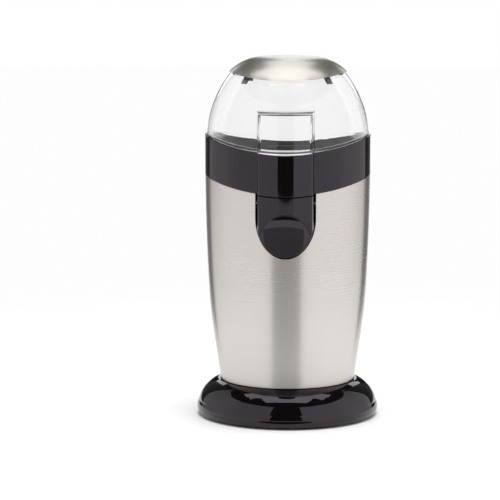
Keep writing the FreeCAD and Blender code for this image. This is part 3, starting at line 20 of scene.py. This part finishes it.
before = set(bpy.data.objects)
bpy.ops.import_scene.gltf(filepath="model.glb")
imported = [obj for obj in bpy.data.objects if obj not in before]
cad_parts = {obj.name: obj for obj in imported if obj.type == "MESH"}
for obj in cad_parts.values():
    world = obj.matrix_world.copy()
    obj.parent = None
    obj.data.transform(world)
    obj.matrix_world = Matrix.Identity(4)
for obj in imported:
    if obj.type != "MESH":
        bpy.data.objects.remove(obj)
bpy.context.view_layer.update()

STEEL_NODES = ("outer_shell",)
CAP_NODES = ("lid_cap",)
GLOSS_NODES = ("base_foot", "collar_band", "button_bezel", "power_button")
CLEAR_NODES = ("lid_dome",)
TAB_NODES = ("cap_retainer",)
BOWL_NODES = ("grinding_bowl", "grinding_blade")
PLATED_NODES = (
    "base_screws", "clamp_screws", "button_pins", "button_spring", "drive_shaft", "upper_bearing",
    "motor_screws", "brush_springs", "blade_spacer", "blade_nut", "switch_bracket", "switch_screws",
    "interlock_spring",
)
RUBBER_NODES = ("rubber_feet", "cord_gland", "bowl_gasket", "motor_mounts", "shaft_seal")
COPPER_NODES = ("field_coils", "armature_windings", "commutator")
CORE_NODES = ("stator_core", "armature_core")
MOULDED_NODES = (
    "base_plate", "cord_clamp", "bowl_carrier", "inner_housing", "lower_motor_bracket",
    "upper_motor_bracket", "cooling_fan", "brush_holders", "carbon_brushes", "thermal_cutout",
    "terminal_block", "microswitch", "interlock_plunger", "interlock_shelf",
)
TINTED_NODES = {
    "suppression_capacitor": (0.72, 0.5, 0.1), "lead_wires": (0.05, 0.08, 0.3),
    "switch_plunger": (0.5, 0.04, 0.03), "lower_bearing": (0.5, 0.32, 0.14),
}

# The middle of a noise texture's range, and how rough its smaller waves are
NOISE_LOW = 0.3
NOISE_HIGH = 0.7
NOISE_ROUGHNESS = 0.6
EVEN = (1.0, 1.0, 1.0)

# Brushed steel: how far tone, wear and streaks depart from their mean, and the tight reflection's share
TONE_SWING = 0.22
WEAR_SWING = 0.04
STREAK_SWING = 0.05
TIGHT_SHARE = 0.65
QUARTER_TURN = 0.25
# The cap takes the steel's colour made darker: painted shade that keeps its reflection of the front panel
# below white
CAP_PAINTED_SHADE = 0.86
BOWL_TONE = 1.05

# Refraction of the two plastics, and the most blur in the clear one
GLOSS_IOR = 1.5
CLEAR_IOR = 1.49
CLEAR_BLUR = 0.02

# Cloth of the light panels: its unevenness, and where it fades from front to back
CLOTH_SWING = 0.03
FADE_START = -0.1
FADE_END = 0.85

# Floor: cells in metres, its rows and columns, its tones, and where it fades to white
FLOOR_CELL = 0.1
FLOOR_COLUMNS = range(-20, 21)
FLOOR_ROWS = range(-12, 41)
FLOOR_DARKEST = (0.9, 0.9, 0.9)
FLOOR_LIGHTEST = (0.93, 0.93, 0.93)
FLOOR_WHITE = (0.985, 0.985, 0.985, 1)
FLOOR_FADE_START = 0.12
FLOOR_FADE_END = 0.5

# Upright panels: name, the two edges in degrees from the front, foot, head, cloth
PANEL_RADIUS = 1.0
PANEL_CELLS = 24
WALL_PANELS = (
    ("Left_panel", -141, -20, 0.0, 1.0, "left"),
    ("Right_panel", 20, 143, 0.0, 1.0, "right"),
    ("Left_sky", -163, -149, 0.3, 0.6, "back"),
    ("Right_sky", 150, 164, 0.3, 0.6, "back"),
)

# Flat panels: name, one corner, the corner across from it, cloth
CEILING_Z = 1.05
FLAT_PANELS = (
    ("Front_panel", (-0.40, -0.46, CEILING_Z), (0.40, -0.08, CEILING_Z), "front"),
    ("Top_panel", (-0.62, -0.08, CEILING_Z), (0.62, 0.3, CEILING_Z), "top"),
    ("Back_ceiling", (-0.26, 0.3, CEILING_Z), (0.26, 1.0, CEILING_Z), "back"),
    ("Back_wall", (-0.1, 1.0, 0.0), (0.1, 1.0, CEILING_Z), "back"),
)

# Dark cards behind the dome: name, side, and the two corners on the right side
DARK_CARDS = (("Dark_card_left", -1), ("Dark_card_right", 1))
CARD_NEAR = (0.15, 0.10, 0.0)
CARD_FAR = (0.26, 0.75, 0.21)

# Strips on the floor that widen away from the grinder: name, the two ends in Y, cloth
STRIP_Z = 0.001
STRIP_SPREAD = 0.36
FLOOR_STRIPS = (
    # The black sill is painted shade: only reflections show it, as the shaded floor just in front of the
    # foot
    ("Painted_shade_sill", -0.056, -0.075, "dark"),
    ("Near_strip", -0.105, -0.45, "near"),
    ("Far_strip", -0.45, -1.0, "far"),
)

# Fill lamp, the room's own light and the camera's sensor
FILL_SIZE = 1.4
FILL_PLACE = (0.1, -0.1, 1.5)
ROOM_LIGHT = 0.02
SENSOR_WIDTH = 36


class GrinderFinish(bpy.types.PropertyGroup):
    """Colours and roughness of the grinder's surfaces."""

    steel_colour: FloatVectorProperty(
        name="Steel", description="Colour of the brushed sleeve", subtype="COLOR", size=3,
        min=0, max=1,
        default=(0.615, 0.59, 0.56))
    steel_roughness: FloatProperty(
        name="Steel roughness", description="Blur of the broad part of the sleeve's reflections",
        subtype="FACTOR", default=0.5, min=0.02, max=1)
    steel_sharpness: FloatProperty(
        name="Steel sharpness", description="Blur of the tight part of the sleeve's reflections",
        subtype="FACTOR", default=0.28, min=0.02, max=1)
    steel_grain: FloatProperty(
        name="Brushing", description="Strength of the fine horizontal brushing", subtype="FACTOR",
        default=0.22, min=0, max=1)
    plastic_colour: FloatVectorProperty(
        name="Black plastic", description="Colour under the gloss of the foot and collar",
        subtype="COLOR", size=3, min=0, max=1, default=(0.0035, 0.0025, 0.003))
    plastic_roughness: FloatProperty(
        name="Gloss roughness", description="Blur of reflections in the black plastic", subtype="FACTOR",
        default=0.035, min=0, max=1)
    gloss_tint: FloatVectorProperty(
        name="Gloss tint", description="Tint of reflections in the black plastic", subtype="COLOR", size=3,
        min=0, max=1, default=(0.96, 0.86, 1.0))
    clear_tint: FloatVectorProperty(
        name="Clear plastic", description="Tint of the dome", subtype="COLOR", size=3, min=0, max=1,
        default=(0.985, 0.985, 0.985))


class GrinderStage(bpy.types.PropertyGroup):
    """Sizes and strengths of the studio round the grinder."""

    distance: FloatProperty(
        name="Distance", description="From the camera to the grinder's axis", unit="LENGTH", default=1.25,
        min=0.3, max=5)
    height: FloatProperty(
        name="Height", description="Camera height above the floor", unit="LENGTH", default=0.2598,
        min=0, max=2)
    lens: FloatProperty(
        name="Lens", description="Focal length", unit="CAMERA", default=159.6, min=20, max=300)
    azimuth: FloatProperty(
        name="Azimuth", description="Turn of the camera round the grinder", subtype="ANGLE",
        default=math.radians(1.5), min=-math.pi, max=math.pi)
    pan: FloatProperty(
        name="Pan", description="Turn of the camera to the left of the axis", subtype="ANGLE",
        default=math.radians(0.98), min=-0.5, max=0.5)
    pitch: FloatProperty(
        name="Pitch", description="Tilt of the camera below the horizon", subtype="ANGLE",
        default=math.radians(7.565), min=0, max=1.5)
    left_light: FloatProperty(
        name="Left panel", description="Brightness of the left light panel", default=1.02,
        min=0, max=10)
    right_light: FloatProperty(
        name="Right panel", description="Brightness of the right light panel", default=1.2,
        min=0, max=10)
    top_light: FloatProperty(
        name="Top panel", description="Brightness of the overhead light panel", default=2.0,
        min=0, max=10)
    front_light: FloatProperty(
        name="Front panel", description="Brightness of the overhead panel in front", default=2.4,
        min=0, max=10)
    back_light: FloatProperty(
        name="Backdrop", description="Brightness of the backdrop", default=1.5, min=0, max=10)
    fill: FloatProperty(
        name="Fill", description="Power of the soft overhead fill", unit="POWER", default=19,
        min=0, max=500)


# Shader helpers

def new_material(name):
    """A material with one shader on its surface."""
    material = bpy.data.materials.new(name)
    material.use_nodes = True
    nodes = material.node_tree.nodes
    nodes.clear()
    output = nodes.new("ShaderNodeOutputMaterial")
    shader = nodes.new("ShaderNodeBsdfPrincipled")
    material.node_tree.links.new(shader.outputs["BSDF"], output.inputs["Surface"])
    return material, shader


def add(material, kind, inputs=None, **settings):
    """A shader node. Inputs are values, or the sockets that feed them."""
    node = material.node_tree.nodes.new(kind)
    for key, setting in settings.items():
        setattr(node, key, setting)
    for key, given in (inputs or {}).items():
        if isinstance(given, bpy.types.NodeSocket):
            material.node_tree.links.new(given, node.inputs[key])
        else:
            node.inputs[key].default_value = given
    return node


def link(material, source, target):
    """Feed one socket from another."""
    material.node_tree.links.new(source, target)


def show(material, source):
    """Put this shader on the material's surface in place of the first one."""
    output = next(node for node in material.node_tree.nodes if node.type == "OUTPUT_MATERIAL")
    link(material, source, output.inputs["Surface"])


def grain(material, scale, stretch=EVEN, detail=3.0, seed=0.0):
    """Noise in object space, stretched along the axes."""
    place = add(material, "ShaderNodeTexCoord")
    mapped = add(material, "ShaderNodeMapping",
                 {"Vector": place.outputs["Object"], "Scale": stretch, "Location": (seed, seed, seed)})
    noise = add(material, "ShaderNodeTexNoise",
                {"Vector": mapped.outputs["Vector"], "Scale": scale, "Detail": detail,
                 "Roughness": NOISE_ROUGHNESS})
    return noise.outputs["Fac"]


def ramp(material, source, start, end, low, high, curve="LINEAR"):
    """The source's values from start to end, turned into values from low to high."""
    ranged = add(material, "ShaderNodeMapRange",
                 {"Value": source, "From Min": start, "From Max": end, "To Min": low, "To Max": high},
                 interpolation_type=curve)
    return ranged.outputs["Result"]


def spread(material, noise, low, high):
    """The middle of a noise stretched between low and high."""
    return ramp(material, noise, NOISE_LOW, NOISE_HIGH, low, high)


def calculate(material, operation, first, second):
    """The result of one operation on two sockets or numbers."""
    return add(material, "ShaderNodeMath", {0: first, 1: second}, operation=operation).outputs["Value"]


def blend_colours(material, factor, first, second):
    """A colour between two others."""
    mixed = add(material, "ShaderNodeMix", data_type="RGBA")
    link(material, factor, mixed.inputs["Factor"])
    mixed.inputs["A"].default_value = (*first, 1)
    mixed.inputs["B"].default_value = (*second, 1)
    return mixed.outputs["Result"]


def shade(colour, amount):
    """The colour made darker or lighter."""
    return tuple(min(1.0, channel * amount) for channel in colour)


def vary_colour(material, shader, noise, colour, darkest, lightest):
    """Let the noise move the colour between two shades of it."""
    tone = blend_colours(material, noise, shade(colour, darkest), shade(colour, lightest))
    link(material, tone, shader.inputs["Base Color"])


def vary_blur(material, shader, noise, roughness, least, most):
    """Let the noise move the roughness between two multiples of it."""
    blur = spread(material, noise, roughness * least, roughness * most)
    link(material, blur, shader.inputs["Roughness"])


def emboss(material, shader, noise, strength, depth):
    """Fine relief from the noise."""
    bump = add(material, "ShaderNodeBump", {"Strength": strength, "Distance": depth, "Height": noise})
    link(material, bump.outputs["Normal"], shader.inputs["Normal"])


def finish_nodes(names, material):
    """Give these pieces of the frame the material."""
    for name in names:
        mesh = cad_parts[name].data
        mesh.materials.clear()
        mesh.materials.append(material)


# Materials

def brushed_steel(name, colour, broad, tight, strength, anisotropy):
    """Steel brushed round the body: lines in tone and blur under a broad and a tight reflection."""
    material, shader = new_material(name)
    fine = grain(material, 60.0, stretch=(0.05, 0.05, 20.0), detail=2.0)
    coarse = grain(material, 24.0, stretch=(0.08, 0.08, 24.0), detail=2.0, seed=3.0)
    cloud = grain(material, 9.0, stretch=(1.0, 1.0, 2.0), detail=2.0, seed=8.0)
    both = calculate(material, "ADD", fine, coarse)
    lines = calculate(material, "MULTIPLY", both, 0.5)
    low = shade(colour, 1 - TONE_SWING * strength)
    high = shade(colour, 1 + TONE_SWING * strength)
    tone = blend_colours(material, lines, low, high)
    around = add(material, "ShaderNodeTangent", direction_type="RADIAL", axis="Z")
    second = add(material, "ShaderNodeBsdfPrincipled")
    for lobe, roughness in ((shader, broad), (second, tight)):
        lobe.inputs["Metallic"].default_value = 1.0
        lobe.inputs["Anisotropic"].default_value = anisotropy
        lobe.inputs["Anisotropic Rotation"].default_value = QUARTER_TURN
        link(material, tone, lobe.inputs["Base Color"])
        link(material, around.outputs["Tangent"], lobe.inputs["Tangent"])
        worn = spread(material, cloud, roughness * (1 - WEAR_SWING), roughness * (1 + WEAR_SWING))
        streak = spread(material, fine, 1 - STREAK_SWING * strength, 1 + STREAK_SWING * strength)
        link(material, calculate(material, "MULTIPLY", worn, streak), lobe.inputs["Roughness"])
    mixed = add(material, "ShaderNodeMixShader",
                {"Fac": TIGHT_SHARE, 1: shader.outputs["BSDF"], 2: second.outputs["BSDF"]})
    show(material, mixed.outputs["Shader"])
    return material


def gloss_plastic(name, colour, roughness, tint):
    """Polished moulded plastic: faint waviness, dust and hairline wipe marks."""
    material, shader = new_material(name)
    wave = grain(material, 22.0, detail=2.0)
    wipe = grain(material, 260.0, stretch=(1.0, 1.0, 0.12), detail=5.0, seed=7.0)
    vary_colour(material, shader, wave, colour, darkest=0.8, lightest=1.25)
    vary_blur(material, shader, wipe, roughness, least=0.6, most=1.5)
    shader.inputs["IOR"].default_value = GLOSS_IOR
    shader.inputs["Specular Tint"].default_value = (*tint, 1)
    emboss(material, shader, wave, strength=0.02, depth=0.0002)
    return material


def clear_plastic(name, tint):
    """Clear polished plastic with slight flow marks."""
    material, shader = new_material(name)
    flow = grain(material, 12.0, stretch=(1.0, 1.0, 0.4), detail=1.0)
    shader.inputs["Base Color"].default_value = (*tint, 1)
    link(material, spread(material, flow, 0.0, CLEAR_BLUR), shader.inputs["Roughness"])
    shader.inputs["IOR"].default_value = CLEAR_IOR
    shader.inputs["Transmission Weight"].default_value = 1.0
    emboss(material, shader, flow, strength=0.01, depth=0.0002)
    return material


def moulded_plastic(name, colour, roughness=0.45):
    """Fine spark-eroded texture over a slightly uneven colour."""
    material, shader = new_material(name)
    fine = grain(material, 1400.0)
    patch = grain(material, 30.0, detail=2.0, seed=5.0)
    vary_colour(material, shader, patch, colour, darkest=0.8, lightest=1.2)
    vary_blur(material, shader, patch, roughness, least=0.85, most=1.15)
    emboss(material, shader, fine, strength=0.25, depth=0.0001)
    return material


def metal(name, colour, roughness, scale=400.0):
    """Plated or drawn metal with faint handling marks."""
    material, shader = new_material(name)
    marks = grain(material, scale, stretch=(1.0, 1.0, 3.0), detail=4.0)
    shader.inputs["Metallic"].default_value = 1.0
    vary_colour(material, shader, marks, colour, darkest=0.85, lightest=1.1)
    vary_blur(material, shader, marks, roughness, least=0.7, most=1.3)
    return material


def glow(name, colour, strength, rear=1.0):
    """A light panel's diffusing cloth, a little uneven, that fades behind the grinder."""
    material, shader = new_material(name)
    cloth = grain(material, 3.0, detail=2.0)
    place = add(material, "ShaderNodeTexCoord")
    axes = add(material, "ShaderNodeSeparateXYZ", {"Vector": place.outputs["Object"]})
    fade = ramp(material, axes.outputs["Y"], FADE_START, FADE_END, 1.0, rear, "SMOOTHSTEP")
    uneven = spread(material, cloth, strength * (1 - CLOTH_SWING), strength * (1 + CLOTH_SWING))
    shader.inputs["Base Color"].default_value = (0, 0, 0, 1)
    shader.inputs["Emission Color"].default_value = (*colour, 1)
    link(material, calculate(material, "MULTIPLY", uneven, fade), shader.inputs["Emission Strength"])
    return material


# Operators

class GRINDER_OT_sleeve(bpy.types.Operator):
    """Finish the brushed steel sleeve, cap, bowl and blade"""

    bl_idname = "grinder.sleeve"
    bl_label = "Steel parts"

    def execute(self, context):
        finish = context.scene.grinder_finish
        colour = tuple(finish.steel_colour)
        finish_nodes(STEEL_NODES, brushed_steel(
            "Brushed_steel", colour, broad=finish.steel_roughness, tight=finish.steel_sharpness,
            strength=finish.steel_grain, anisotropy=0.8))
        # The cap's darker copy of the steel colour is painted shade
        finish_nodes(CAP_NODES, brushed_steel(
            "Satin_cap_painted_shade", shade(colour, CAP_PAINTED_SHADE), broad=0.5, tight=0.28, strength=0.2, anisotropy=0.1))
        finish_nodes(BOWL_NODES, brushed_steel(
            "Bowl_steel", shade(colour, BOWL_TONE), broad=0.3, tight=0.16, strength=0.4, anisotropy=0.5))
        return {"FINISHED"}


class GRINDER_OT_plastic(bpy.types.Operator):
    """Finish the black plastic, the clear dome and the ring with its tabs below the cap"""

    bl_idname = "grinder.plastic"
    bl_label = "Plastic parts"

    def execute(self, context):
        finish = context.scene.grinder_finish
        colour = tuple(finish.plastic_colour)
        finish_nodes(GLOSS_NODES, gloss_plastic(
            "Gloss_black", colour, finish.plastic_roughness, tuple(finish.gloss_tint)))
        finish_nodes(CLEAR_NODES, clear_plastic("Clear_plastic", tuple(finish.clear_tint)))
        finish_nodes(TAB_NODES, moulded_plastic("Tab_plastic", (0.09, 0.085, 0.09), roughness=0.35))
        return {"FINISHED"}


class GRINDER_OT_inside(bpy.types.Operator):
    """Finish the floor plate, the motor and the other pieces inside"""

    bl_idname = "grinder.inside"
    bl_label = "Inner parts"

    def execute(self, context):
        finish_nodes(PLATED_NODES, metal("Plated_steel", (0.6, 0.6, 0.6), roughness=0.25))
        finish_nodes(COPPER_NODES, metal("Copper", (0.75, 0.35, 0.18), roughness=0.3))
        finish_nodes(CORE_NODES, metal("Core_steel", (0.2, 0.2, 0.21), roughness=0.5, scale=900.0))
        finish_nodes(RUBBER_NODES, moulded_plastic("Rubber", (0.018, 0.018, 0.018), roughness=0.7))
        finish_nodes(MOULDED_NODES, moulded_plastic("Moulded_plastic", (0.02, 0.02, 0.021)))
        for name, colour in TINTED_NODES.items():
            finish_nodes((name,), moulded_plastic(name + "_finish", colour))
        return {"FINISHED"}


# Stage pieces

def sheet_object(name, rows, material):
    """A sheet through rows of points."""
    mesh = bpy.data.meshes.new(name)
    form = bmesh.new()
    grid = [[form.verts.new(point) for point in row] for row in rows]
    for low, high in zip(grid, grid[1:]):
        for a, b, c, d in zip(low, low[1:], high[1:], high):
            form.faces.new((a, b, c, d))
    form.to_mesh(mesh)
    form.free()
    for face in mesh.polygons:
        face.use_smooth = True
    mesh.materials.append(material)
    sheet = bpy.data.objects.new(name, mesh)
    bpy.context.scene.collection.objects.link(sheet)
    return sheet


def unseen(sheet, *rays):
    """Hide a stage piece from these kinds of ray."""
    for ray in rays:
        setattr(sheet, "visible_" + ray, False)


def wall_panel(name, start, end, low, high, material):
    """An upright panel bent round the grinder, between two angles from the front."""
    rows = []
    for z in (low, high):
        row = []
        for step in range(PANEL_CELLS + 1):
            angle = math.radians(start + (end - start) * step / PANEL_CELLS)
            row.append((PANEL_RADIUS * math.sin(angle), -PANEL_RADIUS * math.cos(angle), z))
        rows.append(row)
    return sheet_object(name, rows, material)


def flat_panel(name, corner, across, material):
    """A flat panel between two corners: level where they have one height, upright where not."""
    (x0, y0, z0), (x1, y1, z1) = corner, across
    if z0 == z1:
        rows = [[(x0, y0, z0), (x1, y0, z0)], [(x0, y1, z0), (x1, y1, z0)]]
    else:
        rows = [[(x0, y0, z0), (x1, y1, z0)], [(x0, y0, z1), (x1, y1, z1)]]
    return sheet_object(name, rows, material)


class GRINDER_OT_stage(bpy.types.Operator):
    """Build the pale floor, the soft lights and the camera"""

    bl_idname = "grinder.stage"
    bl_label = "Stage"

    def execute(self, context):
        stage = context.scene.grinder_stage
        self.floor()
        self.panels(stage)
        self.lamp(context, stage)
        self.world(context)
        self.camera(context, stage)
        return {"FINISHED"}

    def floor(self):
        """Pale floor that fades to plain white away from the grinder."""
        material, shader = new_material("Pale_floor")
        paper = grain(material, 600.0)
        place = add(material, "ShaderNodeTexCoord")
        away = add(material, "ShaderNodeVectorMath", {0: place.outputs["Object"]}, operation="LENGTH")
        fade = ramp(material, away.outputs["Value"], FLOOR_FADE_START, FLOOR_FADE_END, 0.0, 1.0,
                    "SMOOTHERSTEP")
        tone = blend_colours(material, paper, FLOOR_DARKEST, FLOOR_LIGHTEST)
        link(material, tone, shader.inputs["Base Color"])
        shader.inputs["Roughness"].default_value = 0.6
        shader.inputs["Specular IOR Level"].default_value = 0.2
        white = add(material, "ShaderNodeEmission", {"Color": FLOOR_WHITE, "Strength": 1.0})
        mixed = add(material, "ShaderNodeMixShader",
                    {"Fac": fade, 1: shader.outputs["BSDF"], 2: white.outputs["Emission"]})
        show(material, mixed.outputs["Shader"])
        rows = []
        for y in FLOOR_ROWS:
            rows.append([(x * FLOOR_CELL, y * FLOOR_CELL, 0.0) for x in FLOOR_COLUMNS])
        sheet_object("Floor", rows, material)

    def panels(self, stage):
        """Lit panels, and the dark and grey sheets that only reflections show; the black sill among them is
        painted shade of the floor in front of the foot.
        """
        cloths = {
            "left": glow("Left_cloth", (1.0, 0.965, 0.99), stage.left_light, rear=0.42),
            "right": glow("Right_cloth", (1.0, 0.97, 0.99), stage.right_light, rear=0.5),
            "top": glow("Top_cloth", (1.0, 1.0, 0.985), stage.top_light),
            "dark": glow("Dark_cloth", (0.0, 0.0, 0.0), 0.0),
            "back": glow("Back_cloth", (1.0, 1.0, 0.99), stage.back_light),
            "front": glow("Front_cloth", (1.0, 0.99, 0.965), stage.front_light),
            "near": glow("Near_cloth", (1.0, 0.98, 0.97), 0.62),
            "far": glow("Far_cloth", (1.0, 0.98, 0.97), 0.6),
        }
        for name, start, end, low, high, cloth in WALL_PANELS:
            panel = wall_panel(name, start, end, low, high, cloths[cloth])
            unseen(panel, "camera", "transmission", "shadow")
        for name, corner, across, cloth in FLAT_PANELS:
            panel = flat_panel(name, corner, across, cloths[cloth])
            unseen(panel, "camera", "transmission", "shadow")
        for name, side in DARK_CARDS:
            corner = (side * CARD_NEAR[0], *CARD_NEAR[1:])
            across = (side * CARD_FAR[0], *CARD_FAR[1:])
            card = flat_panel(name, corner, across, cloths["dark"])
            unseen(card, "camera", "diffuse", "transmission", "shadow")
        for name, start, end, cloth in FLOOR_STRIPS:
            rows = [[(STRIP_SPREAD * y, y, STRIP_Z), (-STRIP_SPREAD * y, y, STRIP_Z)] for y in (start, end)]
            strip = sheet_object(name, rows, cloths[cloth])
            unseen(strip, "camera", "diffuse", "transmission", "shadow")

    def lamp(self, context, stage):
        """Soft overhead fill that reflections don't show."""
        data = bpy.data.lights.new("Fill_lamp", "AREA")
        data.shape = "DISK"
        data.size = FILL_SIZE
        data.energy = stage.fill
        lamp = bpy.data.objects.new("Fill_lamp", data)
        lamp.location = FILL_PLACE
        lamp.visible_glossy = False
        lamp.visible_transmission = False
        context.scene.collection.objects.link(lamp)

    def world(self, context):
        """White behind everything and through the dome, with little light of its own."""
        world = bpy.data.worlds.new("Studio")
        world.use_nodes = True
        tree = world.node_tree
        tree.nodes.clear()
        path = tree.nodes.new("ShaderNodeLightPath")
        seen = tree.nodes.new("ShaderNodeMath")
        seen.operation = "MAXIMUM"
        tree.links.new(path.outputs["Is Camera Ray"], seen.inputs[0])
        tree.links.new(path.outputs["Is Transmission Ray"], seen.inputs[1])
        level = tree.nodes.new("ShaderNodeMapRange")
        level.inputs["To Min"].default_value = ROOM_LIGHT
        level.inputs["To Max"].default_value = 1.0
        tree.links.new(seen.outputs["Value"], level.inputs["Value"])
        background = tree.nodes.new("ShaderNodeBackground")
        background.inputs["Color"].default_value = (1, 1, 1, 1)
        tree.links.new(level.outputs["Result"], background.inputs["Strength"])
        output = tree.nodes.new("ShaderNodeOutputWorld")
        tree.links.new(background.outputs["Background"], output.inputs["Surface"])
        context.scene.world = world

    def camera(self, context, stage):
        """Long lens from the front, a little above the grinder."""
        data = bpy.data.cameras.new("Camera")
        data.lens = stage.lens
        data.sensor_width = SENSOR_WIDTH
        camera = bpy.data.objects.new("Camera", data)
        camera.location = (stage.distance * math.sin(stage.azimuth),
                           -stage.distance * math.cos(stage.azimuth), stage.height)
        camera.rotation_euler = (math.radians(90) - stage.pitch, 0, stage.azimuth + stage.pan)
        context.scene.collection.objects.link(camera)
        context.scene.camera = camera
        context.scene.view_settings.view_transform = "Standard"


class GRINDER_PT_panel(bpy.types.Panel):
    """Grinder settings in the sidebar"""

    bl_idname = "GRINDER_PT_panel"
    bl_label = "Grinder"
    bl_space_type = "VIEW_3D"
    bl_region_type = "UI"
    bl_category = "Grinder"

    def draw(self, context):
        for group in (context.scene.grinder_finish, context.scene.grinder_stage):
            column = self.layout.column()
            for key in group.bl_rna.properties.keys():
                if key not in ("rna_type", "name"):
                    column.prop(group, key)
        for operator in OPERATORS:
            self.layout.operator(operator.bl_idname)


OPERATORS = (GRINDER_OT_sleeve, GRINDER_OT_plastic, GRINDER_OT_inside, GRINDER_OT_stage)
CLASSES = (GrinderFinish, GrinderStage, *OPERATORS, GRINDER_PT_panel)


def register():
    """Add the classes and the two groups of settings."""
    for cls in CLASSES:
        bpy.utils.register_class(cls)
    bpy.types.Scene.grinder_finish = PointerProperty(type=GrinderFinish)
    bpy.types.Scene.grinder_stage = PointerProperty(type=GrinderStage)


def unregister():
    """Take everything away again, in reverse."""
    del bpy.types.Scene.grinder_stage
    del bpy.types.Scene.grinder_finish
    for cls in reversed(CLASSES):
        bpy.utils.unregister_class(cls)


def main():
    """Register the add-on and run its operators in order."""
    register()
    for operator in OPERATORS:
        group, name = operator.bl_idname.split(".")
        getattr(getattr(bpy.ops, group), name)()


if __name__ == "__main__":
    main()
